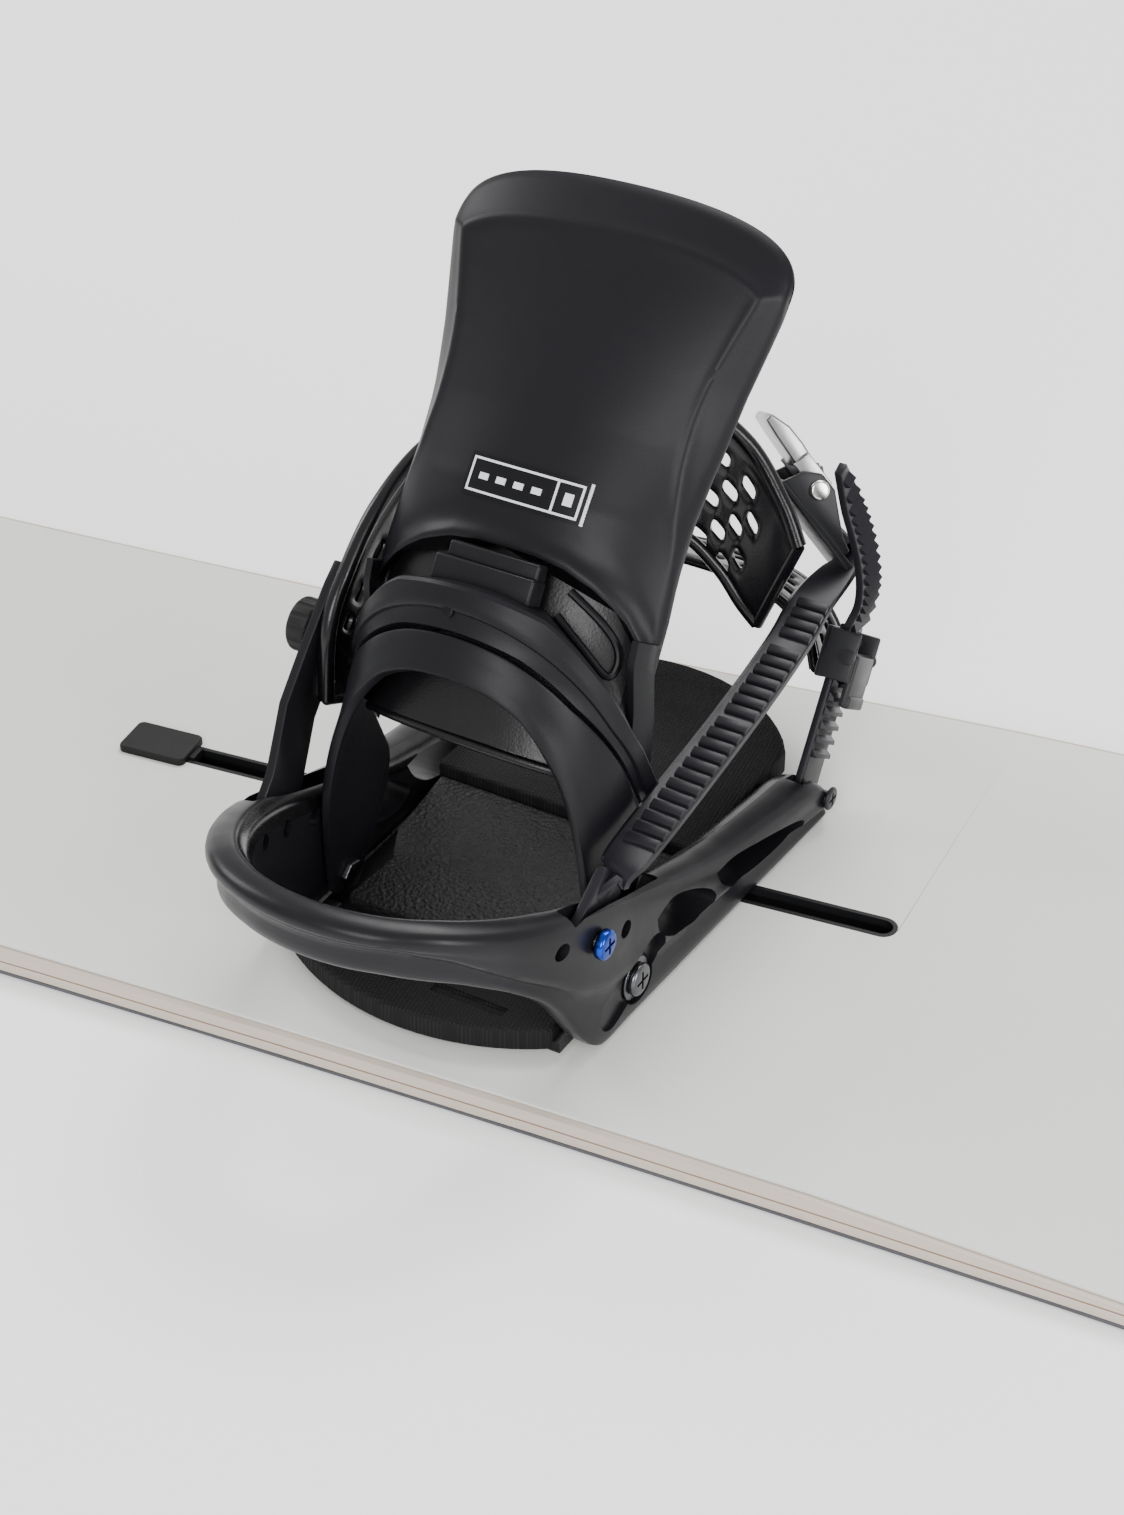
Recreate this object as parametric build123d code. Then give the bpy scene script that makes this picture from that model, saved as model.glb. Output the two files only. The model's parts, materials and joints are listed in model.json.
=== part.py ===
from build123d import *
import os
from math import cos, radians, sin

# Snowboard with two strap bindings, assembled from separate pieces.
# Frame: origin at the centre of the board's base, +X along the board towards
# the right-foot end, +Y from the heel edge to the toe edge, +Z up. Millimetres.
os.makedirs("parts", exist_ok=True)

# ---- driving dimensions: board ----
BOARD_LENGTH = 1460.0
CONTACT_HALF = 560.0            # base is flat between the two contact lines
WAIST_HALF = 118.5              # half width at the waist, at the steel edges
SIDECUT_RADIUS = 8600.0
TIP_RISE = 42.0
BOARD_THICK = 10.8              # between the bindings
CONTACT_THICK = 6.0
TIP_THICK = 5.0
FULL_THICK_HALF = 390.0         # full thickness out to this distance
EDGE_HEIGHT, EDGE_WIDTH = 1.5, 2.6
TOP_THICK, TOP_INSET = 1.0, 2.5
SIDEWALL_WIDTH = 9.0

# ---- driving dimensions: stance and channel ----
STANCE_HALF = 262.0             # binding centre to board centre
SETBACK = -8.5                  # binding centre behind the channel line
TOE_OUT = 7.63                  # degrees
CHANNEL_INNER_X, CHANNEL_OUTER_X = 106.0, 378.6
CHANNEL_MOUTH, CHANNEL_CAVITY = 7.2, 12.8
RAIL_WIDTH, RAIL_HEIGHT = 19.0, 6.8
PLUG_SIZE = (26.0, 17.0, 2.6)

# ---- driving dimensions: binding, in its own frame (origin on the topsheet) ----
GAP = 0.4                       # clearance between parts that move past each other
FLOOR_THICK = 4.0
WALL_INNER = 50.3
HOOP_INNER_REAR, HOOP_OUTER_REAR = -133.5, -144.7
DISC_RADIUS, DISC_FLANGE = 44.0, 49.0
SCREW_PITCH = 50.0
FOOTBED_TOP = 13.8
HINGE_Y, HINGE_Z, HINGE_R = -53.0, 13.0, 3.0
ANCHOR_Y, ANCHOR_Z, ANCHOR_R = -79.9, 47.2, 2.5
ANCHOR_HOLE_R, ANCHOR_STEP = 3.0, 17.8
POCKET_IN, POCKET_OUT = 53.4, 60.3   # slot in each wall that takes a strap's end
STRAP_X = 56.4                       # mid plane of the strap ends in the slots
LEAN = 31.8                          # highback's forward lean in the stored pose
TOE_Y, TOE_Z, TOE_R = 66.0, 11.0, 2.5
TOE_X = 62.5


# ---- helpers ----
def pt(x, y, z):
    return Vector(x, y, z)


def unit(v):
    return v * (1 / v.length)


def box(x0, x1, y0, y1, z0, z1):
    return Pos((x0 + x1) / 2, (y0 + y1) / 2, (z0 + z1) / 2) * Box(x1 - x0, y1 - y0, z1 - z0)


def rod(p, direction, radius, length):
    """Round bar that starts at p and runs along direction."""
    return extrude(Plane(origin=p, z_dir=direction) * Circle(radius), length)


def xrod(x0, x1, y, z, radius):
    return rod(pt(x0, y, z), pt(1, 0, 0), radius, x1 - x0)


def side_slab(points, x0, x1):
    """Polygon given in (y, z), extruded from x0 to x1."""
    outline = make_face(Polyline(*[(y, z) for y, z in points], close=True))
    return Pos(x0, 0, 0) * extrude(Plane.YZ * outline, x1 - x0)


def plan_slab(face, z0, z1):
    return Pos(0, 0, z0) * extrude(face, z1 - z0)


def band(stations):
    """Strap through stations of (centre, width direction, thickness direction, width, thickness)."""
    sections = []
    for centre, across, through, width, thick in stations:
        normal = unit(across).cross(unit(through))
        frame = Plane(origin=centre, x_dir=unit(across), z_dir=normal)
        sections.append(frame * Rectangle(width, thick))
    return loft(sections, ruled=True)


def edge_band(tops, bottoms, thick):
    """Strap between a top edge and a bottom edge, both given as points."""
    middles = [(a + b) * 0.5 for a, b in zip(tops, bottoms)]
    stations = []
    for i, middle in enumerate(middles):
        along = middles[min(i + 1, len(middles) - 1)] - middles[max(i - 1, 0)]
        across = tops[i] - bottoms[i]
        through = along.cross(across)
        stations.append((middle, across, through, across.length, thick))
    return band(stations)


def to_board(shape):
    """Right-foot binding frame to board frame."""
    return Pos(STANCE_HALF, SETBACK, BOARD_THICK) * Rot(0, 0, -TOE_OUT) * shape


def write_pair(shape, node):
    """Write a right-foot piece and its left-foot mirror image."""
    export_step(shape, f"parts/right_{node}.step")
    export_step(mirror(shape, about=Plane.YZ), f"parts/left_{node}.step")


# ---- board ----
def board_outline(inset):
    waist = WAIST_HALF - inset
    widest = waist + SIDECUT_RADIUS - (SIDECUT_RADIUS**2 - CONTACT_HALF**2) ** 0.5
    tip = BOARD_LENGTH / 2 - inset
    c = CONTACT_HALF
    nose = [(c, widest), (c + 110, widest + 7), (tip, 0.74 * widest), (tip, 0)]
    edges = [ThreePointArc((-c, widest), (0, waist), (c, widest)), Bezier(*nose)]
    edges.append(Bezier(*[(x, -y) for x, y in reversed(nose)]))
    edges.append(ThreePointArc((c, -widest), (0, -waist), (-c, -widest)))
    edges.append(Bezier(*[(-x, -y) for x, y in nose]))
    edges.append(Bezier(*[(-x, y) for x, y in reversed(nose)]))
    return make_face(edges)


def tip_height(run):
    radius = ((BOARD_LENGTH / 2 - CONTACT_HALF) ** 2 + TIP_RISE**2) / (2 * TIP_RISE)
    return radius - (radius**2 - run**2) ** 0.5


def layer(lower, upper):
    """Board-shaped slab between two heights, each (middle, contact, tip) above the base line."""
    reach = BOARD_LENGTH / 2 + 10

    def half_curve(h, sign):
        run = reach - CONTACT_HALF
        flat = Line((0, h[0]), (sign * FULL_THICK_HALF, h[0]))
        taper = Line(flat @ 1, (sign * CONTACT_HALF, h[1]))
        middle = (sign * (CONTACT_HALF + run / 2), tip_height(run / 2) + (h[1] + h[2]) / 2)
        kick = ThreePointArc(taper @ 1, middle, (sign * reach, tip_height(run) + h[2]))
        return [flat, taper, kick]

    edges = []
    for sign in (1, -1):
        low, high = half_curve(lower, sign), half_curve(upper, sign)
        edges += low + high + [Line(low[2] @ 1, high[2] @ 1)]
    width = 2 * WAIST_HALF + 120
    return Pos(0, width / 2, 0) * extrude(Plane.XZ * make_face(edges), width)


def board_slab(lower, upper, inset):
    return layer(lower, upper) & plan_slab(board_outline(inset), -5, TIP_RISE + 30)


def board_ring(lower, upper, outer_inset, inner_inset):
    hole = plan_slab(board_outline(inner_inset), -5, TIP_RISE + 30)
    return board_slab(lower, upper, outer_inset) - hole


def channel_slot(width, z0, z1, spare=0.0):
    length = CHANNEL_OUTER_X - CHANNEL_INNER_X + 2 * spare
    middle = (CHANNEL_OUTER_X + CHANNEL_INNER_X) / 2
    return Pos(middle, 0, 0) * plan_slab(SlotOverall(length, width), z0, z1)


def both_sides(shape):
    return [shape, mirror(shape, about=Plane.YZ)]


def build_board():
    base_line = (0, 0, 0)
    edge_top = (EDGE_HEIGHT,) * 3
    core_top = (BOARD_THICK - TOP_THICK, CONTACT_THICK - TOP_THICK, TIP_THICK - TOP_THICK)
    full_top = (BOARD_THICK, CONTACT_THICK, TIP_THICK)
    rail_top = BOARD_THICK - TOP_THICK
    pocket = channel_slot(RAIL_WIDTH, rail_top - RAIL_HEIGHT, BOARD_THICK + 5, spare=6)
    mouth = channel_slot(CHANNEL_MOUTH + 3, rail_top - 1, BOARD_THICK + 5, spare=1.5)
    core = board_slab(edge_top, core_top, SIDEWALL_WIDTH)
    topsheet = board_slab(core_top, full_top, TOP_INSET)
    middle = box(-CONTACT_HALF, CONTACT_HALF, -200, 200, -5, 60)
    spacers = board_slab(edge_top, core_top, 0) - middle
    core &= middle
    for cut in both_sides(pocket):
        core -= cut
    for cut in both_sides(mouth):
        topsheet -= cut

    rail = channel_slot(RAIL_WIDTH, rail_top - RAIL_HEIGHT, rail_top, spare=6)
    rail += channel_slot(CHANNEL_MOUTH + 3, rail_top, BOARD_THICK, spare=1.5)
    rail -= channel_slot(CHANNEL_MOUTH, rail_top - 3, BOARD_THICK + 1)
    rail -= channel_slot(CHANNEL_CAVITY, rail_top - RAIL_HEIGHT + 1, rail_top - 1.9, spare=3)

    length, width, height = PLUG_SIZE
    plug_x = 0.5 * (95.2 + 120.8)
    plug = plan_slab(RectangleRounded(length, width, 2.5), BOARD_THICK, BOARD_THICK + height)
    plug = fillet(plug.faces().sort_by(Axis.Z)[-1].edges(), 0.9)
    plug = Pos(plug_x, 0, 0) * plug
    plug += box(CHANNEL_INNER_X + 4, plug_x + length / 2 + 2, -3.2, 3.2, BOARD_THICK - 2.5, BOARD_THICK + 1)

    export_step(board_slab(base_line, edge_top, EDGE_WIDTH), "parts/base_sheet.step")
    export_step(board_ring(base_line, edge_top, 0, EDGE_WIDTH), "parts/steel_edges.step")
    sidewalls = board_ring(edge_top, core_top, 0, SIDEWALL_WIDTH) & middle
    export_step(sidewalls, "parts/sidewalls.step")
    export_step(spacers, "parts/tip_spacers.step")
    export_step(core, "parts/core.step")
    export_step(topsheet, "parts/topsheet.step")
    export_step(Compound(both_sides(rail)), "parts/channel_rails.step")
    export_step(Compound(both_sides(plug)), "parts/channel_plugs.step")


# ---- mount: disc, screws and channel nuts, built straight in the board frame ----
def build_mount():
    z = BOARD_THICK
    disc = plan_slab(Circle(DISC_RADIUS), z + GAP, z + 7.0)
    disc += plan_slab(Circle(DISC_FLANGE), z + 4.8, z + 7.0)
    disc -= plan_slab(Circle(9), z + 5.2, z + 8)
    screws, nuts = [], []
    for sign in (-1, 1):
        x = sign * SCREW_PITCH / 2
        disc -= Pos(x, 0, 0) * plan_slab(Circle(3.1), z, z + 8)
        disc -= Pos(x, 0, 0) * plan_slab(Circle(6.0), z + 3.4, z + 8)
        screw = Pos(x, 0, 0) * plan_slab(Circle(3.0), z - 6.6, z + 3.5)
        head = Pos(x, 0, 0) * plan_slab(Circle(5.5), z + 3.4, z + 6.8)
        head -= Pos(x, 0, z + 6) * Box(7, 1.3, 2.4)
        head -= Pos(x, 0, z + 6) * Box(1.3, 7, 2.4)
        screws.append(screw + head)
        nut = Pos(x, 0, 0) * plan_slab(RectangleRounded(15, 12.0, 2), z - 6.4, z - 3.4)
        nuts.append(nut - Pos(x, 0, 0) * plan_slab(Circle(3.0), z - 8, z))
    at_stance = Pos(STANCE_HALF, 0, 0)
    write_pair(at_stance * disc, "disc")
    write_pair(at_stance * Compound(screws), "disc_screws")
    write_pair(at_stance * Compound(nuts), "channel_nuts")


# ---- baseplate: floor, two walls and heel hoop in one moulding ----
def hoop_outline(half_width, rear):
    """Closed plan outline: straight forward part and rounded rear."""
    start, reach = -60.0, rear + 60.0
    side = [(half_width, start), (half_width, start + 0.62 * reach), (0.62 * half_width, rear), (0, rear)]
    other = [(-x, y) for x, y in reversed(side)]
    edges = [Bezier(*side), Bezier(*other)]
    edges.append(Polyline((-half_width, start), (-half_width, 120), (half_width, 120), (half_width, start)))
    return make_face(edges)


def wall_outline():
    """Outer plan outline: the walls spread towards the toe and run into the hoop."""
    start, toe_y, toe_x = -60.0, 69.5, 71.0
    half, reach = 62.5, HOOP_OUTER_REAR + 60.0
    side = [(half, start), (half, start + 0.62 * reach), (0.62 * half, HOOP_OUTER_REAR), (0, HOOP_OUTER_REAR)]
    other = [(-x, y) for x, y in reversed(side)]
    edges = [Bezier(*side), Bezier(*other)]
    edges.append(Polyline((-half, start), (-toe_x, toe_y), (toe_x, toe_y), (half, start)))
    return make_face(edges)


SIDE_PROFILE = [(-75, GAP), (-86, 12), (-93, 26), (-101, 36), (-114, 47), (-126, 55), (-146, 62),
                (-146, 81.9), (-60, 52.2), (-15, 35), (13, 28), (43, 22), (60, 19.5), (69.5, 12), (69.5, GAP)]
WINDOWS = [[(-43, 31), (-26, 31), (-9, 17), (-14, 13), (-34, 20)],
           [(-14, 29), (18, 22.5), (47, 12), (38, 8.5), (4, 14), (-8, 21)]]


def strap_hole(index):
    """Centre (y, z) of a strap hole in a wall, index -1, 0 or 1 from rear to front."""
    slope = radians(-21.9)
    return ANCHOR_Y + index * ANCHOR_STEP * cos(slope), ANCHOR_Z + index * ANCHOR_STEP * sin(slope)


def build_baseplate():
    wall = plan_slab(wall_outline(), 0, 90) - plan_slab(hoop_outline(WALL_INNER, HOOP_INNER_REAR), -1, 91)
    plate = wall & side_slab(SIDE_PROFILE, -80, 80)
    floor = box(-WALL_INNER - 1, WALL_INNER + 1, -70, 62, GAP, GAP + FLOOR_THICK)
    hole = Pos(Vector(0, -SETBACK, 0).rotate(Axis.Z, TOE_OUT)) * Circle(DISC_RADIUS + GAP)
    plate += floor - plan_slab(hole, -1, 10)
    for side in (-1, 1):
        outer = sorted((side * POCKET_IN, side * POCKET_OUT))
        plate -= side_slab([(-97, 30), (-97, 90), (-36, 90), (-36, 40), (-48, 30)], *outer)
        toe = sorted((side * (TOE_X - 3.2), side * (TOE_X + 3.2)))
        plate -= side_slab([(54, -1), (54, 40), (80, 40), (80, -1)], *toe)
        reach = sorted((side * 40, side * 75))
        for window in WINDOWS:
            plate -= side_slab(window, *reach)
        for index in (-1, 0, 1):
            plate -= xrod(*reach, *strap_hole(index), ANCHOR_HOLE_R if index else ANCHOR_R)
        plate -= xrod(*reach, HINGE_Y, HINGE_Z, HINGE_R)
        recess = sorted((side * 59.5, side * 75))
        plate -= xrod(*recess, HINGE_Y, HINGE_Z, 8.0)
        plate -= xrod(*reach, TOE_Y - 1, TOE_Z, TOE_R)
    write_pair(to_board(plate), "baseplate")


def build_pads():
    # the highback's arms stand between the mid pad and the walls
    mid_points = [(-40, -63), (40, -63), (38, -40), (45, -25), (48.5, 7.9), (-48.5, 7.9), (-45, -25), (-38, -40)]
    mid = plan_slab(make_face(Polyline(*mid_points, close=True)), 7.4, FOOTBED_TOP)
    write_pair(to_board(fillet(mid.edges().group_by(Axis.Z)[-1], 1.2)), "footbed")

    toe_face = Pos(-3.5, 41.8) * Circle(63.4) & Pos(0, 58.3) * Rectangle(120, 100)
    toe = plan_slab(toe_face, 0.8, 17.6)
    toe &= side_slab([(8.3, 7.4), (8.3, 13.8), (60, 17.2), (110, 17.6), (110, 0.8), (70.5, 0.8), (62.5, 7.4)], -80, 80)
    toe &= box(-WALL_INNER, WALL_INNER, 0, 120, 0, 20)
    write_pair(to_board(toe), "toe_pad")

    heel_face = Pos(0, -13.7) * Circle(85.3) & Pos(0, -90) * Rectangle(2 * WALL_INNER - 4, 40)
    heel = plan_slab(heel_face, 0.8, 9.6)
    write_pair(to_board(fillet(heel.edges().group_by(Axis.Z)[-1], 1.5)), "heel_pad")


# ---- highback, in its own leaning frame: x across, y backwards, z up along the shell ----
def to_highback(shape):
    """Shell frame (hinge axis as x, backwards as +y, up as +z) to the binding frame."""
    return Pos(0, HINGE_Y, HINGE_Z) * Rot(-LEAN, 0, 0) * mirror(shape, about=Plane.XZ)


def cup_face(half_width, depth, front=-8.0):
    """Horseshoe outline round the heel: straight sides and a half-ellipse at the back."""
    axis_y = 18.0
    ring = EllipticalCenterArc((0, axis_y), half_width, depth, start_angle=0, arc_size=180)
    sides = Polyline((-half_width, axis_y), (-half_width, front), (half_width, front), (half_width, axis_y))
    return make_face([ring, sides])


CUP_HALF, CUP_DEPTH, CUP_WALL = 49.7, 43.0, 3.6
ARM_END_R = 8.2
# side view (y, z) of the heel loop: along its top edge, down the arm's front and back up its rear edge
LOOP_SIDE = [(66, 93), (61, 90.5), (58, 88.5), (47, 79), (21.5, 62), (-6, 43), (-10, 30), (-8, 8), (-6, 0),
             (8, 0), (20, 15), (29.5, 30), (40, 48.4), (50, 64), (55, 71.5), (61, 77.5), (66, 79)]
LEDGE_SIDE = [(66, 94), (62, 91.8), (58, 89.3), (47, 79.8), (26.5, 66.5), (26.5, 77), (36, 84),
              (47, 94), (56, 102.5), (62, 105.2), (66, 106.5)]
SHELL_STATIONS = [(58, 47.5, 26, 18), (100, 50, 26.5, 18), (136, 49.5, 26.5, 16.5),
                  (180, 56, 26.5, 10), (215, 64, 26.5, 4.5), (242, 66, 27, 2.5)]


def shell_slab(grow, thick):
    """Shell wall: each station is (height, half width, edge y, bulge); grow moves it outwards."""
    faces = []
    for height, half, edge_y, bulge in SHELL_STATIONS:
        outer = ThreePointArc((-half, edge_y + grow), (0, edge_y + bulge + grow), (half, edge_y + grow))
        inner = ThreePointArc((half, edge_y + grow - thick), (0, edge_y + bulge + grow - thick),
                              (-half, edge_y + grow - thick))
        wire = [outer, Line(outer @ 1, inner @ 0), inner, Line(inner @ 1, outer @ 0)]
        faces.append(Pos(0, 0, height) * make_face(wire))
    return loft(faces)


def shell_outline(lowest):
    """Front-view outline of the shell, as a slab along y."""
    right = Spline((49.6, lowest), (49.5, 110), (48.4, 140), (52.5, 180), (57.6, 212))
    corner = Bezier(right @ 1, (61, 232), (34, 236), (0, 236))
    left = [mirror(edge, about=Plane.YZ) for edge in (corner, right)]
    face = make_face([right, corner, *left, Line((-49.6, lowest), (49.6, lowest))])
    return Pos(0, 90, 0) * extrude(Plane.XZ * face, 140)


def build_highback():
    ring = plan_slab(cup_face(CUP_HALF, CUP_DEPTH) - cup_face(CUP_HALF - CUP_WALL, CUP_DEPTH - CUP_WALL, -20), -12, 110)
    arch = ring & side_slab(LOOP_SIDE, -60, 60)
    arch += xrod(-CUP_HALF, -CUP_HALF + CUP_WALL, 0, 0, ARM_END_R)
    arch += xrod(CUP_HALF - CUP_WALL, CUP_HALF, 0, 0, ARM_END_R)
    arch -= xrod(-60, 60, 0, 0, HINGE_R + 0.06)
    write_pair(to_board(to_highback(arch)), "highback_loop")

    shell = shell_slab(0, 4.0) & shell_outline(66)
    ledge = plan_slab(cup_face(CUP_HALF + 1.0, CUP_DEPTH + 2.5, 0), 40, 140)
    ledge -= shell_slab(-4.2, 40)
    ledge &= side_slab(LEDGE_SIDE, -60, 60)
    shell += ledge
    write_pair(to_board(to_highback(shell)), "highback")

    block = box(-17, 17, 45.2, 54, 107.5, 116)
    block = fillet(block.edges().filter_by(Axis.Z), 2)
    write_pair(to_board(to_highback(block)), "lean_adjuster")

    cushion = shell_slab(-4.3, 7.0) & shell_outline(56) & box(-44, 44, -10, 60, 59, 196)
    write_pair(to_board(to_highback(cushion)), "heel_cushion")

    bolts = []
    for side in (-1, 1):
        x0, x1 = sorted((side * 45.6, side * 60.2))
        bolt = xrod(x0, x1, HINGE_Y, HINGE_Z, HINGE_R)
        cap = sorted((side * 59.5, side * 63.0))
        inner = sorted((side * 43.6, side * 45.9))
        bolts.append(bolt + xrod(*cap, HINGE_Y, HINGE_Z, 6.2) + xrod(*inner, HINGE_Y, HINGE_Z, 5.0))
    write_pair(to_board(Compound(bolts)), "hinge_bolts")


# ---- straps ----
LADDER_ANGLE, LADDER_LENGTH = 12.5, 178.0
TOE_ANGLE = 57.0
LINK_ANGLE = 46.5               # ankle strap's left end, up from level
KNOB_ALONG = 62.7               # length screw along that end
BUCKLE_ORIGIN = pt(43.3, 105.7, 86.9)
BUCKLE_ALONG = unit(pt(-0.66, -0.10, 0.745))
BUCKLE_OUT = unit(pt(0.50, 0.72, 0.54))
BUCKLE_ACROSS = BUCKLE_ALONG.cross(BUCKLE_OUT)

ANKLE_TOP = [pt(-55.8, -46, 76), pt(-56.2, -34, 104), pt(-56.3, -12, 126), pt(-53, 16, 138), pt(-38, 43, 145),
             pt(-14, 62, 147), pt(8, 75, 142), pt(25.5, 84, 126.5), pt(40, 82.5, 109), pt(48, 79.5, 96)]
ANKLE_BOTTOM = [pt(-56, -12, 66), pt(-56, 5, 78), pt(-54.8, 24, 88), pt(-50.5, 38, 95), pt(-37, 52, 99),
                pt(-15, 64, 99), pt(6, 74, 92), pt(19, 78, 80), pt(28, 79, 68), pt(34, 80, 61)]


def ladder_bar(length, width, thick, teeth_from, pitch, tooth):
    """Toothed strap end: runs along +X from its eye, teeth on the +Z face."""
    bar = plan_slab(Rectangle(length, width, align=(Align.MIN, Align.CENTER)), -thick / 2, thick / 2)
    bar += plan_slab(Circle(width / 2), -thick / 2, thick / 2)
    count = int((length - teeth_from - 2) / pitch)
    points = [(teeth_from, -0.4)]
    for i in range(count):
        points += [(teeth_from + i * pitch, tooth), (teeth_from + (i + 1) * pitch, 0)]
    points.append((teeth_from + count * pitch, -0.4))
    row = extrude(Plane.XZ * make_face(Polyline(*points, close=True)), width * 0.33, both=True)
    return bar + Pos(0, 0, thick / 2) * row


def on_side(shape, x, y, z, angle):
    """Stand a flat strap end up in the plane x, pointing forward at an angle."""
    frame = Plane(origin=(x, y, z), x_dir=(0, cos(radians(angle)), sin(radians(angle))), z_dir=(1, 0, 0))
    return frame * shape


def buckle_point(along, out, across=0.0):
    return BUCKLE_ORIGIN + BUCKLE_ALONG * along + BUCKLE_OUT * out + BUCKLE_ACROSS * across


def buckle_box(along0, along1, out0, out1, across0, across1):
    frame = Plane(origin=BUCKLE_ORIGIN, x_dir=BUCKLE_ALONG, z_dir=BUCKLE_OUT)
    return frame * box(along0, along1, across0, across1, out0, out1)


def link_point(along):
    """(y, z) on the centre line of the ankle strap's left end, measured from its pivot."""
    return ANCHOR_Y + along * cos(radians(LINK_ANGLE)), ANCHOR_Z + along * sin(radians(LINK_ANGLE))


def build_ankle():
    eye_clearance = ANCHOR_R + 0.06
    length = LADDER_LENGTH
    bar = ladder_bar(length, 21.0, 3.6, 24.0, 5.2, 1.6)
    bar -= plan_slab(Circle(eye_clearance), -5, 5)
    ladder = on_side(bar, STRAP_X, ANCHOR_Y, ANCHOR_Z, LADDER_ANGLE)
    up = pt(0, -sin(radians(LADDER_ANGLE)), cos(radians(LADDER_ANGLE)))
    end_y = ANCHOR_Y + length * cos(radians(LADDER_ANGLE))
    end_z = ANCHOR_Z + length * sin(radians(LADDER_ANGLE))
    tip = band([(pt(STRAP_X, end_y - 0.5, end_z), up, pt(1, 0, 0), 20.0, 3.4),
                (buckle_point(-12, 3.5), BUCKLE_ACROSS * -1, BUCKLE_OUT, 18.0, 3.0),
                (buckle_point(2, 4.5), BUCKLE_ACROSS * -1, unit(BUCKLE_OUT - BUCKLE_ALONG * 0.3), 18.0, 3.0),
                (buckle_point(18.5, 12.5), BUCKLE_ACROSS * -1, unit(BUCKLE_OUT - BUCKLE_ALONG * 0.8), 14.0, 2.2)])
    write_pair(to_board(ladder + tip), "ankle_ladder")

    link = on_side(plan_slab(SlotOverall(38, 20), -1.8, 1.8), -STRAP_X, *link_point(9), LINK_ANGLE)
    lift = pt(0, -sin(radians(LINK_ANGLE)), cos(radians(LINK_ANGLE)))
    link += band([(pt(x, *link_point(s)), lift, pt(1, 0, 0), 20.0, 3.5)
                  for x, s in ((-STRAP_X, 16), (-60.8, 36), (-61, 64), (-60.8, 84))])
    link -= xrod(-70, -40, ANCHOR_Y, ANCHOR_Z, eye_clearance)
    knob_y, knob_z = link_point(KNOB_ALONG)
    link -= xrod(-72, -52, knob_y, knob_z, 2.6)
    write_pair(to_board(link), "ankle_link")

    strap = edge_band(ANKLE_TOP, ANKLE_BOTTOM, 5.0)
    write_pair(to_board(strap), "ankle_strap")

    knob = xrod(-71.2, -63.2, knob_y, knob_z, 9.0)
    for i in range(12):
        angle = radians(30 * i)
        knob -= xrod(-80, -60, knob_y + 9.9 * cos(angle), knob_z + 9.9 * sin(angle), 1.5)
    knob += xrod(-63.5, -59.1, knob_y, knob_z, 2.5)
    write_pair(to_board(knob), "ankle_knob")

    frame = buckle_box(-14, 24, -2.5, 0.5, -14, 14)
    frame += buckle_box(-9, 24, 0, 11, -14, -11.2) + buckle_box(-9, 24, 0, 11, 11.2, 14)
    pin = buckle_point(14, 7, -16)
    frame -= rod(pin, BUCKLE_ACROSS, 2.45, 32)
    write_pair(to_board(frame), "ankle_buckle")
    lever = buckle_box(22.5, 43, 8.5, 12.5, -9.5, 9.5)
    lever += buckle_box(12, 24, 6, 12.5, -10.8, -9.3) + buckle_box(12, 24, 6, 12.5, 9.3, 10.8)
    lever += rod(buckle_point(14, 7, -15.2), BUCKLE_ACROSS, 2.4, 5.4)
    lever += rod(buckle_point(14, 7, 9.8), BUCKLE_ACROSS, 2.4, 5.4)
    write_pair(to_board(lever), "ankle_lever")


# free end of the toe ladder above its buckle: (centre, width); it bends round the ankle buckle
TOE_TIP = [(pt(61.9, 96.6, 59.6), 17), (pt(65.2, 97.6, 70), 17), (pt(66.9, 96, 81), 16.5),
           (pt(66.8, 92.5, 94), 15.5), (pt(66.2, 86.3, 107), 14), (pt(65.3, 79.5, 119), 11.5),
           (pt(64.2, 71.5, 134), 6)]
TOE_BUCKLE_AT = 48.0            # along the toe ladder


def toe_point(along):
    """(y, z) on the centre line of the toe ladder, measured from its pivot."""
    return TOE_Y - 1 + along * cos(radians(TOE_ANGLE)), TOE_Z + along * sin(radians(TOE_ANGLE))


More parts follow.
